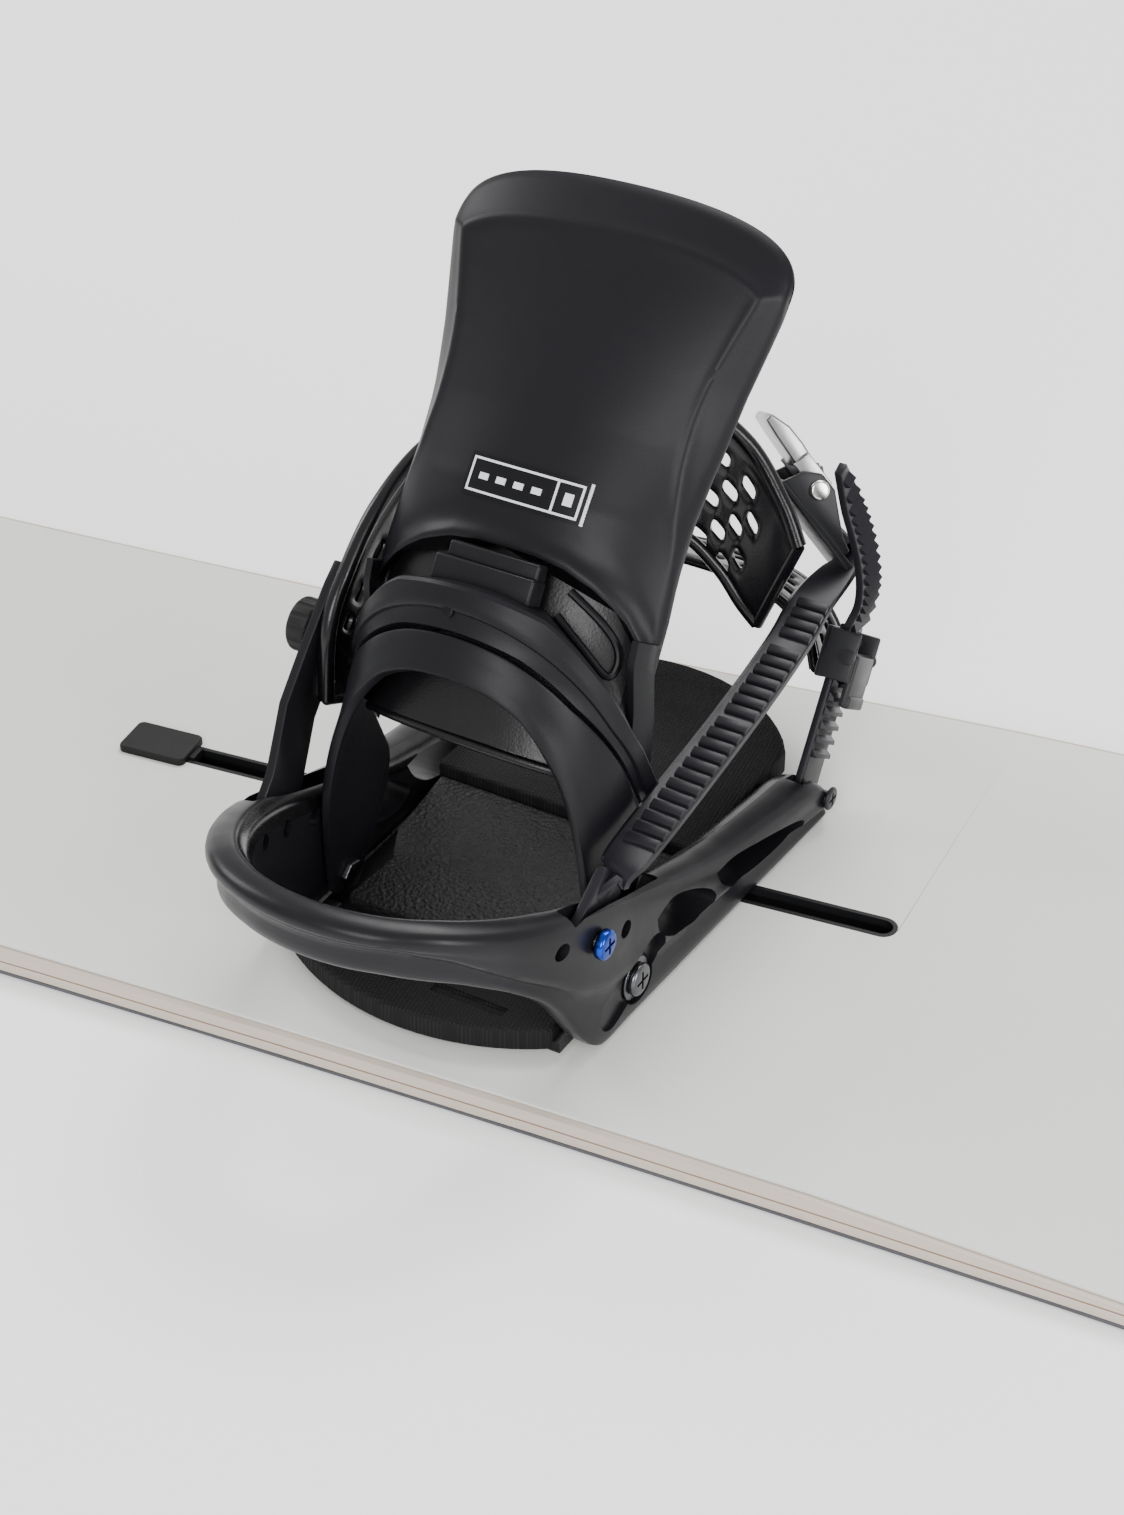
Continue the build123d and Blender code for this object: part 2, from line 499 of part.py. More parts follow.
def build_toe():
    eye_clearance = TOE_R + 0.06
    bar = ladder_bar(58.5, 17.0, 3.2, 14.0, 5.0, 1.8)
    bar -= plan_slab(Circle(eye_clearance), -5, 5)
    ladder = on_side(bar, TOE_X - 0.6, TOE_Y - 1, TOE_Z, TOE_ANGLE)
    stations, teeth = [], []
    for (here, width), (after, _) in zip(TOE_TIP, TOE_TIP[1:] + [(pt(63, 63.5, 149), 0)]):
        run = unit(after - here)
        across = unit(pt(1, 0, 0).cross(run))
        stations.append((here, across, unit(run.cross(across)), width, 3.0))
        for step in (2.5, 7.5):
            tooth = Plane(origin=here + run * step, x_dir=run, z_dir=unit(run.cross(across)))
            teeth.append(tooth * box(-1.2, 1.2, -0.32 * width, 0.32 * width, 1.0, 3.0))
    ladder += band(stations)
    for tooth in teeth[2:-2]:
        ladder += tooth
    write_pair(to_board(ladder), "toe_ladder")
    link = on_side(plan_slab(SlotOverall(62, 17), -1.6, 1.6), -TOE_X, *toe_point(22.5), TOE_ANGLE)
    link -= xrod(-70, -50, TOE_Y - 1, TOE_Z, eye_clearance)
    write_pair(to_board(link), "toe_link")
    tops = [pt(-58, 86, 44), pt(-50, 92, 56), pt(-28, 97, 64), pt(0, 98, 66), pt(28, 97, 64), pt(47, 92, 56), pt(54, 86, 46)]
    bottoms = [pt(-58, 110, 30), pt(-50, 120, 42), pt(-28, 128, 52), pt(0, 130, 54), pt(28, 128, 52),
               pt(47, 120, 42), pt(54, 110, 32)]
    write_pair(to_board(edge_band(tops, bottoms, 4.0)), "toe_strap")
    frame = box(57.0, 59.8, -11, 11, -9, 9)
    frame += box(57.0, 70, 9.2, 11, -9, 9) + box(57.0, 70, -11, -9.2, -9, 9)
    frame -= rod(pt(67.5, -20, 0), pt(0, 1, 0), 2.05, 40)
    lever = box(67.5, 70.5, -8.6, 8.6, -17, 1.5)
    lever += rod(pt(67.5, -12, 0), pt(0, 1, 0), 2.0, 24)
    place = Pos(0, *toe_point(TOE_BUCKLE_AT)) * Rot(-33, 0, 0)
    write_pair(to_board(place * frame), "toe_buckle")
    write_pair(to_board(place * lever), "toe_lever")


def build_strap_screws():
    screws = []
    for side in (-1, 1):
        for y, z, radius, x0, x1, head in ((ANCHOR_Y, ANCHOR_Z, ANCHOR_R, 51.5, 62.6, 5.0),
                                           (TOE_Y - 1, TOE_Z, TOE_R, 57.6, 71.1, 4.5)):
            shank = sorted((side * x0, side * x1))
            cap = sorted((side * x1, side * (x1 + 4)))
            screws.append(xrod(*shank, y, z, radius) + xrod(*cap, y, z, head))
    write_pair(to_board(Compound(screws)), "strap_screws")


build_board()
build_mount()
build_baseplate()
build_pads()
build_highback()
build_ankle()
build_toe()
build_strap_screws()
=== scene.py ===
import json
from math import atan2, copysign, cos, exp, hypot, pi, radians, sin, sqrt

import bmesh
import bpy
from mathutils import Matrix, Vector


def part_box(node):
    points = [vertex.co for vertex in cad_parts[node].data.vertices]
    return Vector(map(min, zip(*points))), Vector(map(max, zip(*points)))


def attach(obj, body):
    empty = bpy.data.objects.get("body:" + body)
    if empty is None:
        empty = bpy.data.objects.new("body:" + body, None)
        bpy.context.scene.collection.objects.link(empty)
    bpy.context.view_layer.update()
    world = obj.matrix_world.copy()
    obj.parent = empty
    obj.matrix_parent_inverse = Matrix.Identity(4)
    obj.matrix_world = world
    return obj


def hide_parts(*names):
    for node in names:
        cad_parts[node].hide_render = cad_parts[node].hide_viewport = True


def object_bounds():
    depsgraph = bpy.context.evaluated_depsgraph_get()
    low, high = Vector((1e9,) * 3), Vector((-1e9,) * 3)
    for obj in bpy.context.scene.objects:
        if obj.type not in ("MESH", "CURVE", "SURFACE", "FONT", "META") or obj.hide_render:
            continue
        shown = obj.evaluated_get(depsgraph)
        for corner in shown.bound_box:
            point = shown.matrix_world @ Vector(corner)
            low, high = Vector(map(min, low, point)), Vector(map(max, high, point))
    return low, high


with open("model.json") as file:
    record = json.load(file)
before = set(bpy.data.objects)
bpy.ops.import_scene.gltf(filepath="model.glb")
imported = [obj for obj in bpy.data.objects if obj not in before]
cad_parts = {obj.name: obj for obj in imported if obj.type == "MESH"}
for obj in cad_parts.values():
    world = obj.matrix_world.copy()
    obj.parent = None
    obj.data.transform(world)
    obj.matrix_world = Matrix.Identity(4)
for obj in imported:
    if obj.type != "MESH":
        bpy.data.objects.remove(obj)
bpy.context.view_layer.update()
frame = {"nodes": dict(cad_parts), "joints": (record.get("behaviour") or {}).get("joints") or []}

# A snowboard with two strap bindings. Each binding piece is modelled once, for the
# right foot, in millimetres in the binding's own frame (x across, y to the toes, z up
# from the topsheet), then placed in the shared frame and mirrored for the left foot.
MM = 0.001
joints = {j["name"]: j for j in frame["joints"]}
fold_axis = joints["right_highback_fold"]["axis"]
TOE_OUT = atan2(-fold_axis[1], fold_axis[0])
HINGE = Vector((0, -53, 13))             # highback hinge in the binding frame
turn = Matrix.Rotation(-TOE_OUT, 4, "Z")
origin = Vector(joints["right_highback_fold"]["pos_m"]) - turn @ (HINGE * MM)
TO_FRAME = Matrix.Translation(origin) @ turn @ Matrix.Scale(MM, 4)
FLIP = Matrix.Scale(-1, 4, (1, 0, 0))
BOARD_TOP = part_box("channel_rails")[1][2]


# ---- small maths ----
def mix(a, b, t):
    return a + (b - a) * t


def basis(x, y, z, origin):
    """Matrix with the given axes and origin."""
    return Matrix(((*x, 0), (*y, 0), (*z, 0), (*origin, 1))).transposed()


def run_at(path, i):
    """Vector between the neighbours of point i, along the path."""
    return path[min(i + 1, len(path) - 1)] - path[max(i - 1, 0)]


def smooth(t):
    t = min(1.0, max(0.0, t))
    return t * t * (3 - 2 * t)


def table(rows, key):
    """Straight-line interpolation in rows of (key, value), sorted by key."""
    if key <= rows[0][0]:
        return rows[0][1]
    for (k0, v0), (k1, v1) in zip(rows, rows[1:]):
        if key <= k1:
            return mix(v0, v1, (key - k0) / (k1 - k0))
    return rows[-1][1]


def bezier(p, t):
    """Cubic Bezier curve through four points, each a tuple."""
    s = 1 - t
    weights = (s**3, 3 * s * s * t, 3 * s * t * t, t**3)
    return [sum(w * q[i] for w, q in zip(weights, p)) for i in range(len(p[0]))]


def spline(points, count):
    """Catmull-Rom curve through points, resampled to count points."""
    points = [Vector(p) for p in points]
    out = []
    spans = len(points) - 1
    for k in range(count):
        f = k / (count - 1) * spans
        i = min(int(f), spans - 1)
        t = f - i
        p0, p1 = points[max(i - 1, 0)], points[i]
        p2, p3 = points[i + 1], points[min(i + 2, spans)]
        out.append(0.5 * (2 * p1 + (p2 - p0) * t + (2 * p0 - 5 * p1 + 4 * p2 - p3) * t * t
                          + (3 * p1 - p0 - 3 * p2 + p3) * t**3))
    return out


# ---- materials ----
def node(tree, kind, values, wires):
    """Shader node with some sockets set and others wired."""
    made = tree.nodes.new("ShaderNode" + kind)
    for socket, value in values.items():
        made.inputs[socket].default_value = value
    for socket, source in wires.items():
        tree.links.new(source, made.inputs[socket])
    return made


def new_material():
    """Material, its node tree, and the object coordinates that textures use."""
    mat = bpy.data.materials.new("finish")
    mat.use_nodes = True
    place = node(mat.node_tree, "TexCoord", {}, {})
    return mat, mat.node_tree, place.outputs["Object"]


def noise(tree, place, scale, detail, stretch=(1, 1, 1)):
    mapping = node(tree, "Mapping", {"Scale": [scale * s for s in stretch]}, {"Vector": place})
    wires = {"Vector": mapping.outputs["Vector"]}
    return node(tree, "TexNoise", {"Scale": 1.0, "Detail": detail}, wires).outputs["Fac"]


def ramp(tree, value, low, high, start=0.3, end=0.7):
    made = node(tree, "ValToRGB", {}, {"Fac": value})
    for stop, at, color in zip(made.color_ramp.elements, (start, end), (low, high)):
        stop.position = at
        stop.color = (*color, 1)
    return made.outputs["Color"]


def multiply(tree, first, second):
    made = node(tree, "Math", {}, {0: first, 1: second})
    made.operation = "MULTIPLY"
    return made.outputs["Value"]


def set_shader(mat, tones, height, relief, strength=1.0, **values):
    """Wire colour and bump; set the named values, such as roughness."""
    tree = mat.node_tree
    shader = tree.nodes["Principled BSDF"]
    fine = node(tree, "Bump", {"Distance": relief, "Strength": strength}, {"Height": height})
    tree.links.new(tones, shader.inputs["Base Color"])
    tree.links.new(fine.outputs["Normal"], shader.inputs["Normal"])
    for name, value in values.items():
        shader.inputs[name.replace("_", " ")].default_value = value
    return shader


BLOTCH_SCALE = 28                        # broad patches of tone, per metre
SCUFF_SCALE = 160                        # smaller patches of roughness, per metre


def surface(color, rough, grain=2500, relief=0.00003, metallic=0.0, tint=1.25,
            rough_spread=0.08, stretch=(1, 1, 1), gloss=0.22):
    """Moulded or machined surface: blotchy tone, uneven roughness and a fine grain."""
    mat, tree, place = new_material()
    tones = ramp(tree, noise(tree, place, BLOTCH_SCALE, 4), color, [min(1, c * tint) for c in color])
    shader = set_shader(mat, tones, noise(tree, place, grain, 2, stretch), relief,
                        Metallic=metallic, Specular_IOR_Level=gloss)
    scuff = noise(tree, place, SCUFF_SCALE, 5, stretch)
    limits = {"To Min": rough - rough_spread, "To Max": rough + rough_spread}
    uneven = node(tree, "MapRange", limits, {"Value": scuff})
    tree.links.new(uneven.outputs["Result"], shader.inputs["Roughness"])
    return mat


WAVE_RATE = 20                           # radians per unit of a wave texture's scale


def weave(color, pitch):
    """Rubber pad with a fine woven or ribbed face."""
    mat, tree, place = new_material()
    values = {"Scale": 2 * pi / WAVE_RATE / pitch, "Distortion": 0.4}
    waves = []
    for direction in ("X", "Y"):
        wave = node(tree, "TexWave", values, {"Vector": place})
        wave.bands_direction = direction
        waves.append(wave.outputs["Fac"])
    value = multiply(tree, *waves)
    tones = ramp(tree, value, [c * 0.55 for c in color], color, 0.05, 0.6)
    set_shader(mat, tones, value, 0.0004, 0.8, Roughness=0.75, Specular_IOR_Level=0.2)
    return mat


def banded(color, line, low, high):
    """Sidewall: plain satin colour with one thin darker line between two heights."""
    mat, tree, place = new_material()
    split = node(tree, "SeparateXYZ", {}, {"Vector": place})
    gates = []
    for operation, height in (("GREATER_THAN", low), ("LESS_THAN", high)):
        gate = node(tree, "Math", {1: height}, {0: split.outputs["Z"]})
        gate.operation = operation
        gates.append(gate.outputs["Value"])
    tones = ramp(tree, multiply(tree, *gates), color, line, 0.4, 0.6)
    set_shader(mat, tones, noise(tree, place, 1200, 2, (0.1, 1, 1)), 0.00003, Roughness=0.45)
    return mat


SHELL_TONE = (0.0052, 0.0049, 0.0070)
BASE_TONE = (0.0075, 0.0070, 0.0088)
# every finish by name; a slot's own finish has the slot's name
MATERIALS = {
    "topsheet": surface((0.70, 0.712, 0.682), 0.42, 1800, 0.00001, tint=1.02),
    "sidewall": banded((0.54, 0.46, 0.39), (0.20, 0.12, 0.08), 0.0052, 0.0058),
    "edge_steel": surface((0.10, 0.10, 0.11), 0.38, 2500, 0.00002, 1.0, stretch=(0.05, 1, 1)),
    "board_base": surface((0.02, 0.02, 0.022), 0.5, 3000, 0.00002, stretch=(0.1, 1, 1)),
    "board_core": surface((0.55, 0.38, 0.2), 0.7, 300, 0.0001, stretch=(0.1, 1, 1)),
    "rail_plastic": surface((0.008, 0.008, 0.009), 0.5),
    "soft_rubber": surface((0.010, 0.009, 0.009), 0.55, 1500, 0.00006),
    "binding_plastic": surface(BASE_TONE, 0.33, 2200, 0.00003, tint=1.3),
    "screw_steel": surface((0.12, 0.12, 0.13), 0.28, 3000, 0.00002, 1.0),
    "foam_pad": weave((0.013, 0.012, 0.0135), 0.0013),
    "shell_plastic": surface(SHELL_TONE, 0.40, 2600, 0.00003, tint=1.2, rough_spread=0.03),
    "strap_plastic": surface((0.0035, 0.0033, 0.0045), 0.24, 2200, 0.00003, gloss=0.4),
    "ladder_plastic": surface((0.011, 0.0105, 0.0135), 0.36, 2200, 0.00003),
    "buckle_metal": surface((0.30, 0.30, 0.31), 0.3, 2600, 0.00003, 1.0, stretch=(0.15, 1, 1)),
    "blue_metal": surface((0.02, 0.06, 0.40), 0.22, 2600, 0.00002, 1.0),
    "footbed_foam": surface((0.0055, 0.0055, 0.006), 0.52, 700, 0.0011, rough_spread=0.1, gloss=0.35),
    "gloss_rim": surface((0.004, 0.0038, 0.0046), 0.2, 1600, 0.00002, gloss=0.5),
    "dark_metal": surface((0.020, 0.020, 0.022), 0.34, 2400, 0.00003),
    "rivet_silver": surface((0.62, 0.62, 0.60), 0.22, 2400, 0.00001, 1.0),
    "label_black": surface((0.004, 0.004, 0.005), 0.3),
    "label_white": surface((0.70, 0.71, 0.73), 0.4, tint=1.05),
    "label_silver": surface((0.42, 0.42, 0.45), 0.3, metallic=1.0),
    "cushion_foam": surface((0.0042, 0.0040, 0.0050), 0.36, 1200, 0.00008, gloss=0.4),
}
for name, material in MATERIALS.items():
    material.name = name


# ---- mesh building ----
def add(name, data):
    """New object in the scene."""
    obj = bpy.data.objects.new(name, data)
    bpy.context.scene.collection.objects.link(obj)
    return obj


def make(verts, faces):
    """Mesh object from points and faces, welded and with its normals outward."""
    mesh = bpy.data.meshes.new("part")
    mesh.from_pydata([tuple(v) for v in verts], [], faces)
    mesh.validate()
    obj = add("part", mesh)
    fix = bmesh.new()
    fix.from_mesh(mesh)
    bmesh.ops.remove_doubles(fix, verts=fix.verts, dist=0.0005)
    bmesh.ops.recalc_face_normals(fix, faces=fix.faces)
    fix.to_mesh(mesh)
    fix.free()
    return obj


def grid(rows, closed=False, caps=False):
    """Quads over rows of points. closed joins each row's ends; caps fills the end rows."""
    n = len(rows[0])
    verts = [p for row in rows for p in row]
    faces = []
    for i in range(len(rows) - 1):
        for j in range(n if closed else n - 1):
            k = (j + 1) % n
            faces.append((i * n + j, i * n + k, (i + 1) * n + k, (i + 1) * n + j))
    if caps:
        faces.append(tuple(range(n)))
        faces.append(tuple((len(rows) - 1) * n + j for j in range(n)))
    return make(verts, faces)


def loft(rows):
    """Solid through closed sections."""
    return grid(rows, closed=True, caps=True)


def block(lo, hi, bevel=0.6, place=None):
    """Rounded rectangular block between two corners, optionally moved by a matrix."""
    corners = [Vector((x, y, z)) for x in (lo[0], hi[0]) for y in (lo[1], hi[1])
               for z in (lo[2], hi[2])]
    faces = [(0, 1, 3, 2), (4, 6, 7, 5), (0, 4, 5, 1), (2, 3, 7, 6), (0, 2, 6, 4), (1, 5, 7, 3)]
    obj = make(corners, faces)
    round_edges(obj, bevel, 3)
    if place:
        obj.data.transform(place)
    return obj


def disc(centre, axis, radius, length, bevel=0.4, sides=40):
    """Cylinder that starts at centre and runs along axis."""
    axis = Vector(axis).normalized()
    side = axis.orthogonal().normalized()
    other = axis.cross(side)
    rows = []
    for s in (0, length):
        rows.append([Vector(centre) + axis * s + radius * (side * cos(a) + other * sin(a))
                     for a in (2 * pi * k / sides for k in range(sides))])
    obj = loft(rows)
    round_edges(obj, bevel, 3, 50)
    return obj


def prism(outline, start, end, bevel=0.0, plane="yz"):
    """Polygon in a plane, extruded from start to end along the plane's normal."""
    order = {"yz": (2, 0, 1), "xz": (0, 2, 1), "xy": (0, 1, 2)}[plane]
    rows = [[Vector([(a, b, far)[k] for k in order]) for a, b in outline] for far in (start, end)]
    obj = loft(rows)
    if bevel:
        round_edges(obj, bevel, 3)
    return obj


def tube(path, radius, sides=14):
    """Round bead along a path."""
    rows = []
    last = None
    for i, p in enumerate(path):
        along = run_at(path, i).normalized()
        side = (last if last else Vector((0.3, 0.2, 1))).cross(along).normalized()
        other = along.cross(side)
        rows.append([p + radius * (side * cos(a) + other * sin(a))
                     for a in (2 * pi * k / sides for k in range(sides))])
        last = other
    return loft(rows)


def apply_all(obj):
    """Turn the object's modifiers into mesh."""
    bpy.context.view_layer.update()
    shape = obj.evaluated_get(bpy.context.evaluated_depsgraph_get())
    mesh = bpy.data.meshes.new_from_object(shape)
    obj.modifiers.clear()
    old = obj.data
    obj.data = mesh
    bpy.data.meshes.remove(old)


def round_edges(obj, width, segments=2, angle=30):
    mod = obj.modifiers.new("bevel", "BEVEL")
    mod.width = width
    mod.segments = segments
    mod.limit_method = "ANGLE"
    mod.angle_limit = radians(angle)
    apply_all(obj)


def subdivide(obj, levels=1):
    mod = obj.modifiers.new("sub", "SUBSURF")
    mod.levels = mod.render_levels = levels
    apply_all(obj)


def cut(obj, tools):
    """Boolean difference; the tools are removed."""
    for tool in tools:
        mod = obj.modifiers.new("cut", "BOOLEAN")
        mod.operation = "DIFFERENCE"
        mod.solver = "EXACT"
        mod.object = tool
        apply_all(obj)
        bpy.data.objects.remove(tool)


def join(parts):
    """One object from several, keeping each part's materials."""
    verts, faces, slots, mats = [], [], [], []
    for part in parts:
        offset = len(verts)
        verts += [v.co.copy() for v in part.data.vertices]
        index = []
        for m in part.data.materials:
            if m not in mats:
                mats.append(m)
            index.append(mats.index(m))
        for poly in part.data.polygons:
            faces.append(tuple(offset + v for v in poly.vertices))
            slots.append(index[poly.material_index])
        bpy.data.objects.remove(part)
    mesh = bpy.data.meshes.new("joined")
    mesh.from_pydata(verts, [], faces)
    for m in mats:
        mesh.materials.append(m)
    for poly, slot in zip(mesh.polygons, slots):
        poly.material_index = slot
    return add("joined", mesh)


def paint(obj, finish):
    obj.data.materials.clear()
    obj.data.materials.append(MATERIALS[finish])
    return obj


def shade(obj, angle):
    """Smooth shading, with edges sharper than the angle kept crisp."""
    for poly in obj.data.polygons:
        poly.use_smooth = True
    edges = bmesh.new()
    edges.from_mesh(obj.data)
    for edge in edges.edges:
        if len(edge.link_faces) == 2 and edge.calc_face_angle(0) > radians(angle):
            edge.smooth = False
    edges.to_mesh(obj.data)
    edges.free()


def place_pair(parts, node, body, slot, angle=35):
    """Join right-foot parts in the shared frame, add the left-foot mirror image and ride both.

    Parts that have no material yet get the slot's own finish.
    """
    for part in parts:
        if not part.data.materials:
            paint(part, slot)
    obj = join(parts)
    obj.data.transform(TO_FRAME)
    shade(obj, angle)
    left = add("left", obj.data.copy())
    left.data.transform(FLIP)
    left.data.flip_normals()
    for side, shape in (("right", obj), ("left", left)):
        shape.name = f"{side}_{node}_form"
        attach(shape, f"{side}_{body}")
        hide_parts(f"{side}_{node}")


# ---- highback: shell coordinates are x across, back, up from the hinge ----
LEAN = radians(31.8)
UP = Vector((0, sin(LEAN), cos(LEAN)))
BACK = Vector((0, -cos(LEAN), sin(LEAN)))
SHELL_CORNER, SHELL_TOP = 210.0, 233.5
HALF_WIDTH = [(40, 49.6), (66, 49.6), (110, 49.5), (125, 48.6), (140, 48.4), (155, 49.4), (170, 51.2),
              (180, 52.5), (196, 55.4), (205, 56.9), (211, 57.3), (240, 57.3)]
BULGE = [(40, 18), (100, 18), (136, 16.5), (180, 10), (215, 5), (240, 3)]
SQUARE = [(90, 2.8), (125, 2.6), (160, 2.0), (240, 2.0)]     # how boxy the shell's section is
CORNER = [(57.3, SHELL_CORNER), (60.3, 229), (34, SHELL_TOP), (0, SHELL_TOP)]
# height of the shell's lower lip by distance from the middle
LIP = [(0, 119), (10, 118.8), (20, 117.5), (30, 114), (36, 110.5), (41, 106.6), (46, 100), (49.6, 92)]
# heights round the heel cup by distance back from the hinge
LEDGE_TOP = [(-10, 54), (8, 64.5), (28, 76), (36, 83), (47, 93.2), (56, 102.3), (62, 105.2), (66, 106.5)]
LEDGE_CREASE = [(-10, 48), (14, 61), (36, 75.5), (47, 85), (54, 91), (62, 97.5), (66, 98.5)]
LEDGE_LOW = [(-10, 44), (21.5, 62.4), (47, 79.4), (58, 88.8), (62, 91.2), (66, 93)]
LOOP_TOP = [(-10, 32), (-6, 42.5), (21.5, 62), (47, 79), (58, 88.3), (61, 90.4), (66, 91)]
LOOP_LOW = [(-10, 14), (-8, 1), (-6, -5.6), (-3, -7.7), (0, -8.2), (4, -7.2), (7, -4.2), (10, 0), (20, 15),
            (29.5, 30), (40, 48.4), (45, 56.6), (50, 64), (55, 71.8), (59, 76.2), (61, 77.8), (66, 78)]


def shell_point(x, back, up):
    return Vector((x, 0, 0)) + HINGE + UP * up + BACK * back


def shell_back(x, up, thick=0.0):
    """Outer surface of the shell, or thick inside it."""
    half = table(HALF_WIDTH, up) + 1.0
    return 26.5 + table(BULGE, up) * max(0.0, 1 - abs(x / half) ** table(SQUARE, up)) - thick


def shell_grid(u, v):
    """Point (x, up) for u from -1 to 1 across and v from 0 to 1 up."""
    low = table(LIP, abs(u) * 49.6)
    base_up = mix(low, SHELL_CORNER, v)
    x, up = u * table(HALF_WIDTH, base_up), base_up
    cx, cup = bezier(CORNER, 1 - abs(u) ** 1.6)
    lift = v ** 4
    x += (copysign(cx, u) - u * CORNER[0][0]) * lift if u else 0.0
    up += (cup - SHELL_CORNER) * lift
    return x, up, up - low


SHELL_THICK = 4.0
SHELL_COLUMNS, SHELL_ROWS = 97, 101
CHAMFER_WIDE, CHAMFER_DEEP = 10.0, 5.2   # bevelled border at the top, fading out down the sides


def build_shell():
    """Crowned shell with a bevelled border and a rolled lower lip; points crowd to its edges."""
    columns, heights = [], []
    for k in range(SHELL_COLUMNS):
        u = -1 + 2 * k / (SHELL_COLUMNS - 1)
        columns.append(sin(u * pi / 2) * 0.55 + u * 0.45)
    for k in range(SHELL_ROWS):
        v = k / (SHELL_ROWS - 1)
        heights.append(0.35 * v + 0.65 * (0.5 - 0.5 * cos(pi * v)))
    rows = []
    for v in heights:
        outer, inner = [], []
        for u in columns:
            x, up, above = shell_grid(u, v)
            gap = min((1 - abs(u)) * table(HALF_WIDTH, up), (1 - v) * 110)
            band = CHAMFER_WIDE * smooth((up - 112) / 70)
            share = max(0.0, 1 - gap / band) if band > 0.5 else 0.0
            chamfer = CHAMFER_DEEP * share * min(1.0, band / 8)
            ridge = 0.35 * exp(-((gap - band) / 1.6) ** 2) * smooth(band / 6)
            roll = 1.0 * max(0.0, 1 - gap / 2.2) ** 2
            lip = 0.9 * exp(-((above - 1.6) / 2.4) ** 2)
            lip -= 0.35 * exp(-((above - 8.0) / 3.5) ** 2)
            outer.append(shell_point(x, shell_back(x, up) + lip + ridge - chamfer - roll, up))
            rear = shell_back(x, up, SHELL_THICK) - 0.75 * chamfer + 0.6 * roll
            inner.append(shell_point(x, rear, up))
        rows.append(outer + inner[::-1])
    return loft(rows)


def build_recess():
    """Wall set back under the lip, with a raised bead round its right-hand window."""
    half, rows = 46.5, []
    for k in range(45):
        x = mix(-half, half, k / 44)
        back = shell_back(x, 105, 5.2)
        low, high = 70 + 14 * (1 - (x / half) ** 2), table(LIP, abs(x)) + 4
        rows.append([shell_point(x, back, low), shell_point(x, back, high),
                     shell_point(x, back - 2, high), shell_point(x, back - 2, low)])
    bead = []
    for x, up in ((22, 111.5), (33, 105), (38.5, 99.5), (40, 94), (38, 90), (30, 96), (20, 103.5)):
        bead.append(shell_point(x, shell_back(x, 105, 3.6), up))
    return [loft(rows), tube(spline(bead, 40), 1.3, 10)]


def build_wings():
    """Side walls that carry the shell's edges down to the ledge."""
    front_edge = [(60, 3), (64, 7.4), (81, 15.4), (92, 23), (96, 25.2), (104, 26.5)]
    section = ((0, 49.4), (1.2, 50.0), (7, 49.6), (12, 47.8), (12, 45.6), (6, 46.6), (0, 46.8))
    parts = []
    for side in (-1, 1):
        rows = []
        for k in range(17):
            up = mix(63, 103, k / 16)
            front = table(front_edge, up)
            rows.append([shell_point(side * out, front + back, up) for back, out in section])
        parts.append(loft(rows))
    return parts


def cup_path(half, depth):
    """Stations round the heel, right to left: x, back, and the outward normal's x and back."""
    out = []
    straight, round_steps = 24, 72
    for k in range(straight):
        out.append((half, mix(-10.0, 18.0, k / straight), 1.0, 0.0))
    for k in range(round_steps + 1):
        a = pi * k / round_steps
        nx, nb = cos(a) / half, sin(a) / depth
        size = hypot(nx, nb)
        out.append((half * cos(a), 18 + depth * sin(a), nx / size, nb / size))
    out += [(-x, b, -nx, nb) for x, b, nx, nb in reversed(out[:straight])]
    return out


def build_ledge():
    """Shelf over the heel loop: a face above a crease and a shadowed band below it."""
    rows = []
    for x, back, nx, nb in cup_path(50.4, 44.0):
        if back < 2:
            continue
        top, crease, low = (table(t, back) for t in (LEDGE_TOP, LEDGE_CREASE, LEDGE_LOW))
        deep = -mix(2.2, 17, smooth((back - 16) / 40))
        section = ((deep, top + 1.2), (mix(deep, -1, 0.5), top + 0.9), (-1.4, top + 0.5), (0.2, top),
                   (0.9, top - 1.2), (0.7, mix(crease, top, 0.4)), (0.7, crease + 1.2),
                   (0.3, crease + 0.2), (-0.7, crease - 0.4), (-1.1, mix(low, crease, 0.5)),
                   (-1.0, low + 0.4), (-2.2, low), (deep, low + 1))
        rows.append([shell_point(x + nx * out, back + nb * out, up) for out, up in section])
    ledge = loft(rows)
    # painted shade: a black disc on the ledge face stands in for the dark inside of its hole; no hole is cut
    hole_shade_disc = disc(shell_point(-4, 61.3, 96.8), BACK, 1.9, 1.1, 0.2, 20)
    return [ledge, paint(hole_shade_disc, "label_black")]


def build_arch():
    """Loop that carries the highback from its two hinge eyes up round the heel."""
    thin = 3.4
    # (distance out from the path, share of the height)
    section = ((-0.5, 0), (0.1, 0.02), (0.3, 0.08), (0, 0.3), (-0.1, 0.6), (0.2, 0.93), (0.0, 0.98),
               (-0.6, 1.0), (-thin + 0.6, 1.0), (-thin, 0.97), (-thin, 0.5), (-thin, 0.04),
               (-thin + 0.6, 0.0))
    rows = []
    for x, back, nx, nb in cup_path(49.2, 42.6):
        top, low = table(LOOP_TOP, back), table(LOOP_LOW, back)
        rows.append([shell_point(x + nx * out, back + nb * out, mix(low, top, f)) for out, f in section])
    return loft(rows)


def build_adjuster():
    """Two-step lean block that sits in the window under the shell's lip."""
    place = basis((1, 0, 0), BACK, UP, HINGE)
    lower = block((-17, 45.3, 104.2), (17, 53.9, 112.4), 0.8, place)
    upper = block((-14.5, 45.3, 112.0), (16.5, 51.6, 117.0), 0.8, place)
    return [lower, upper]


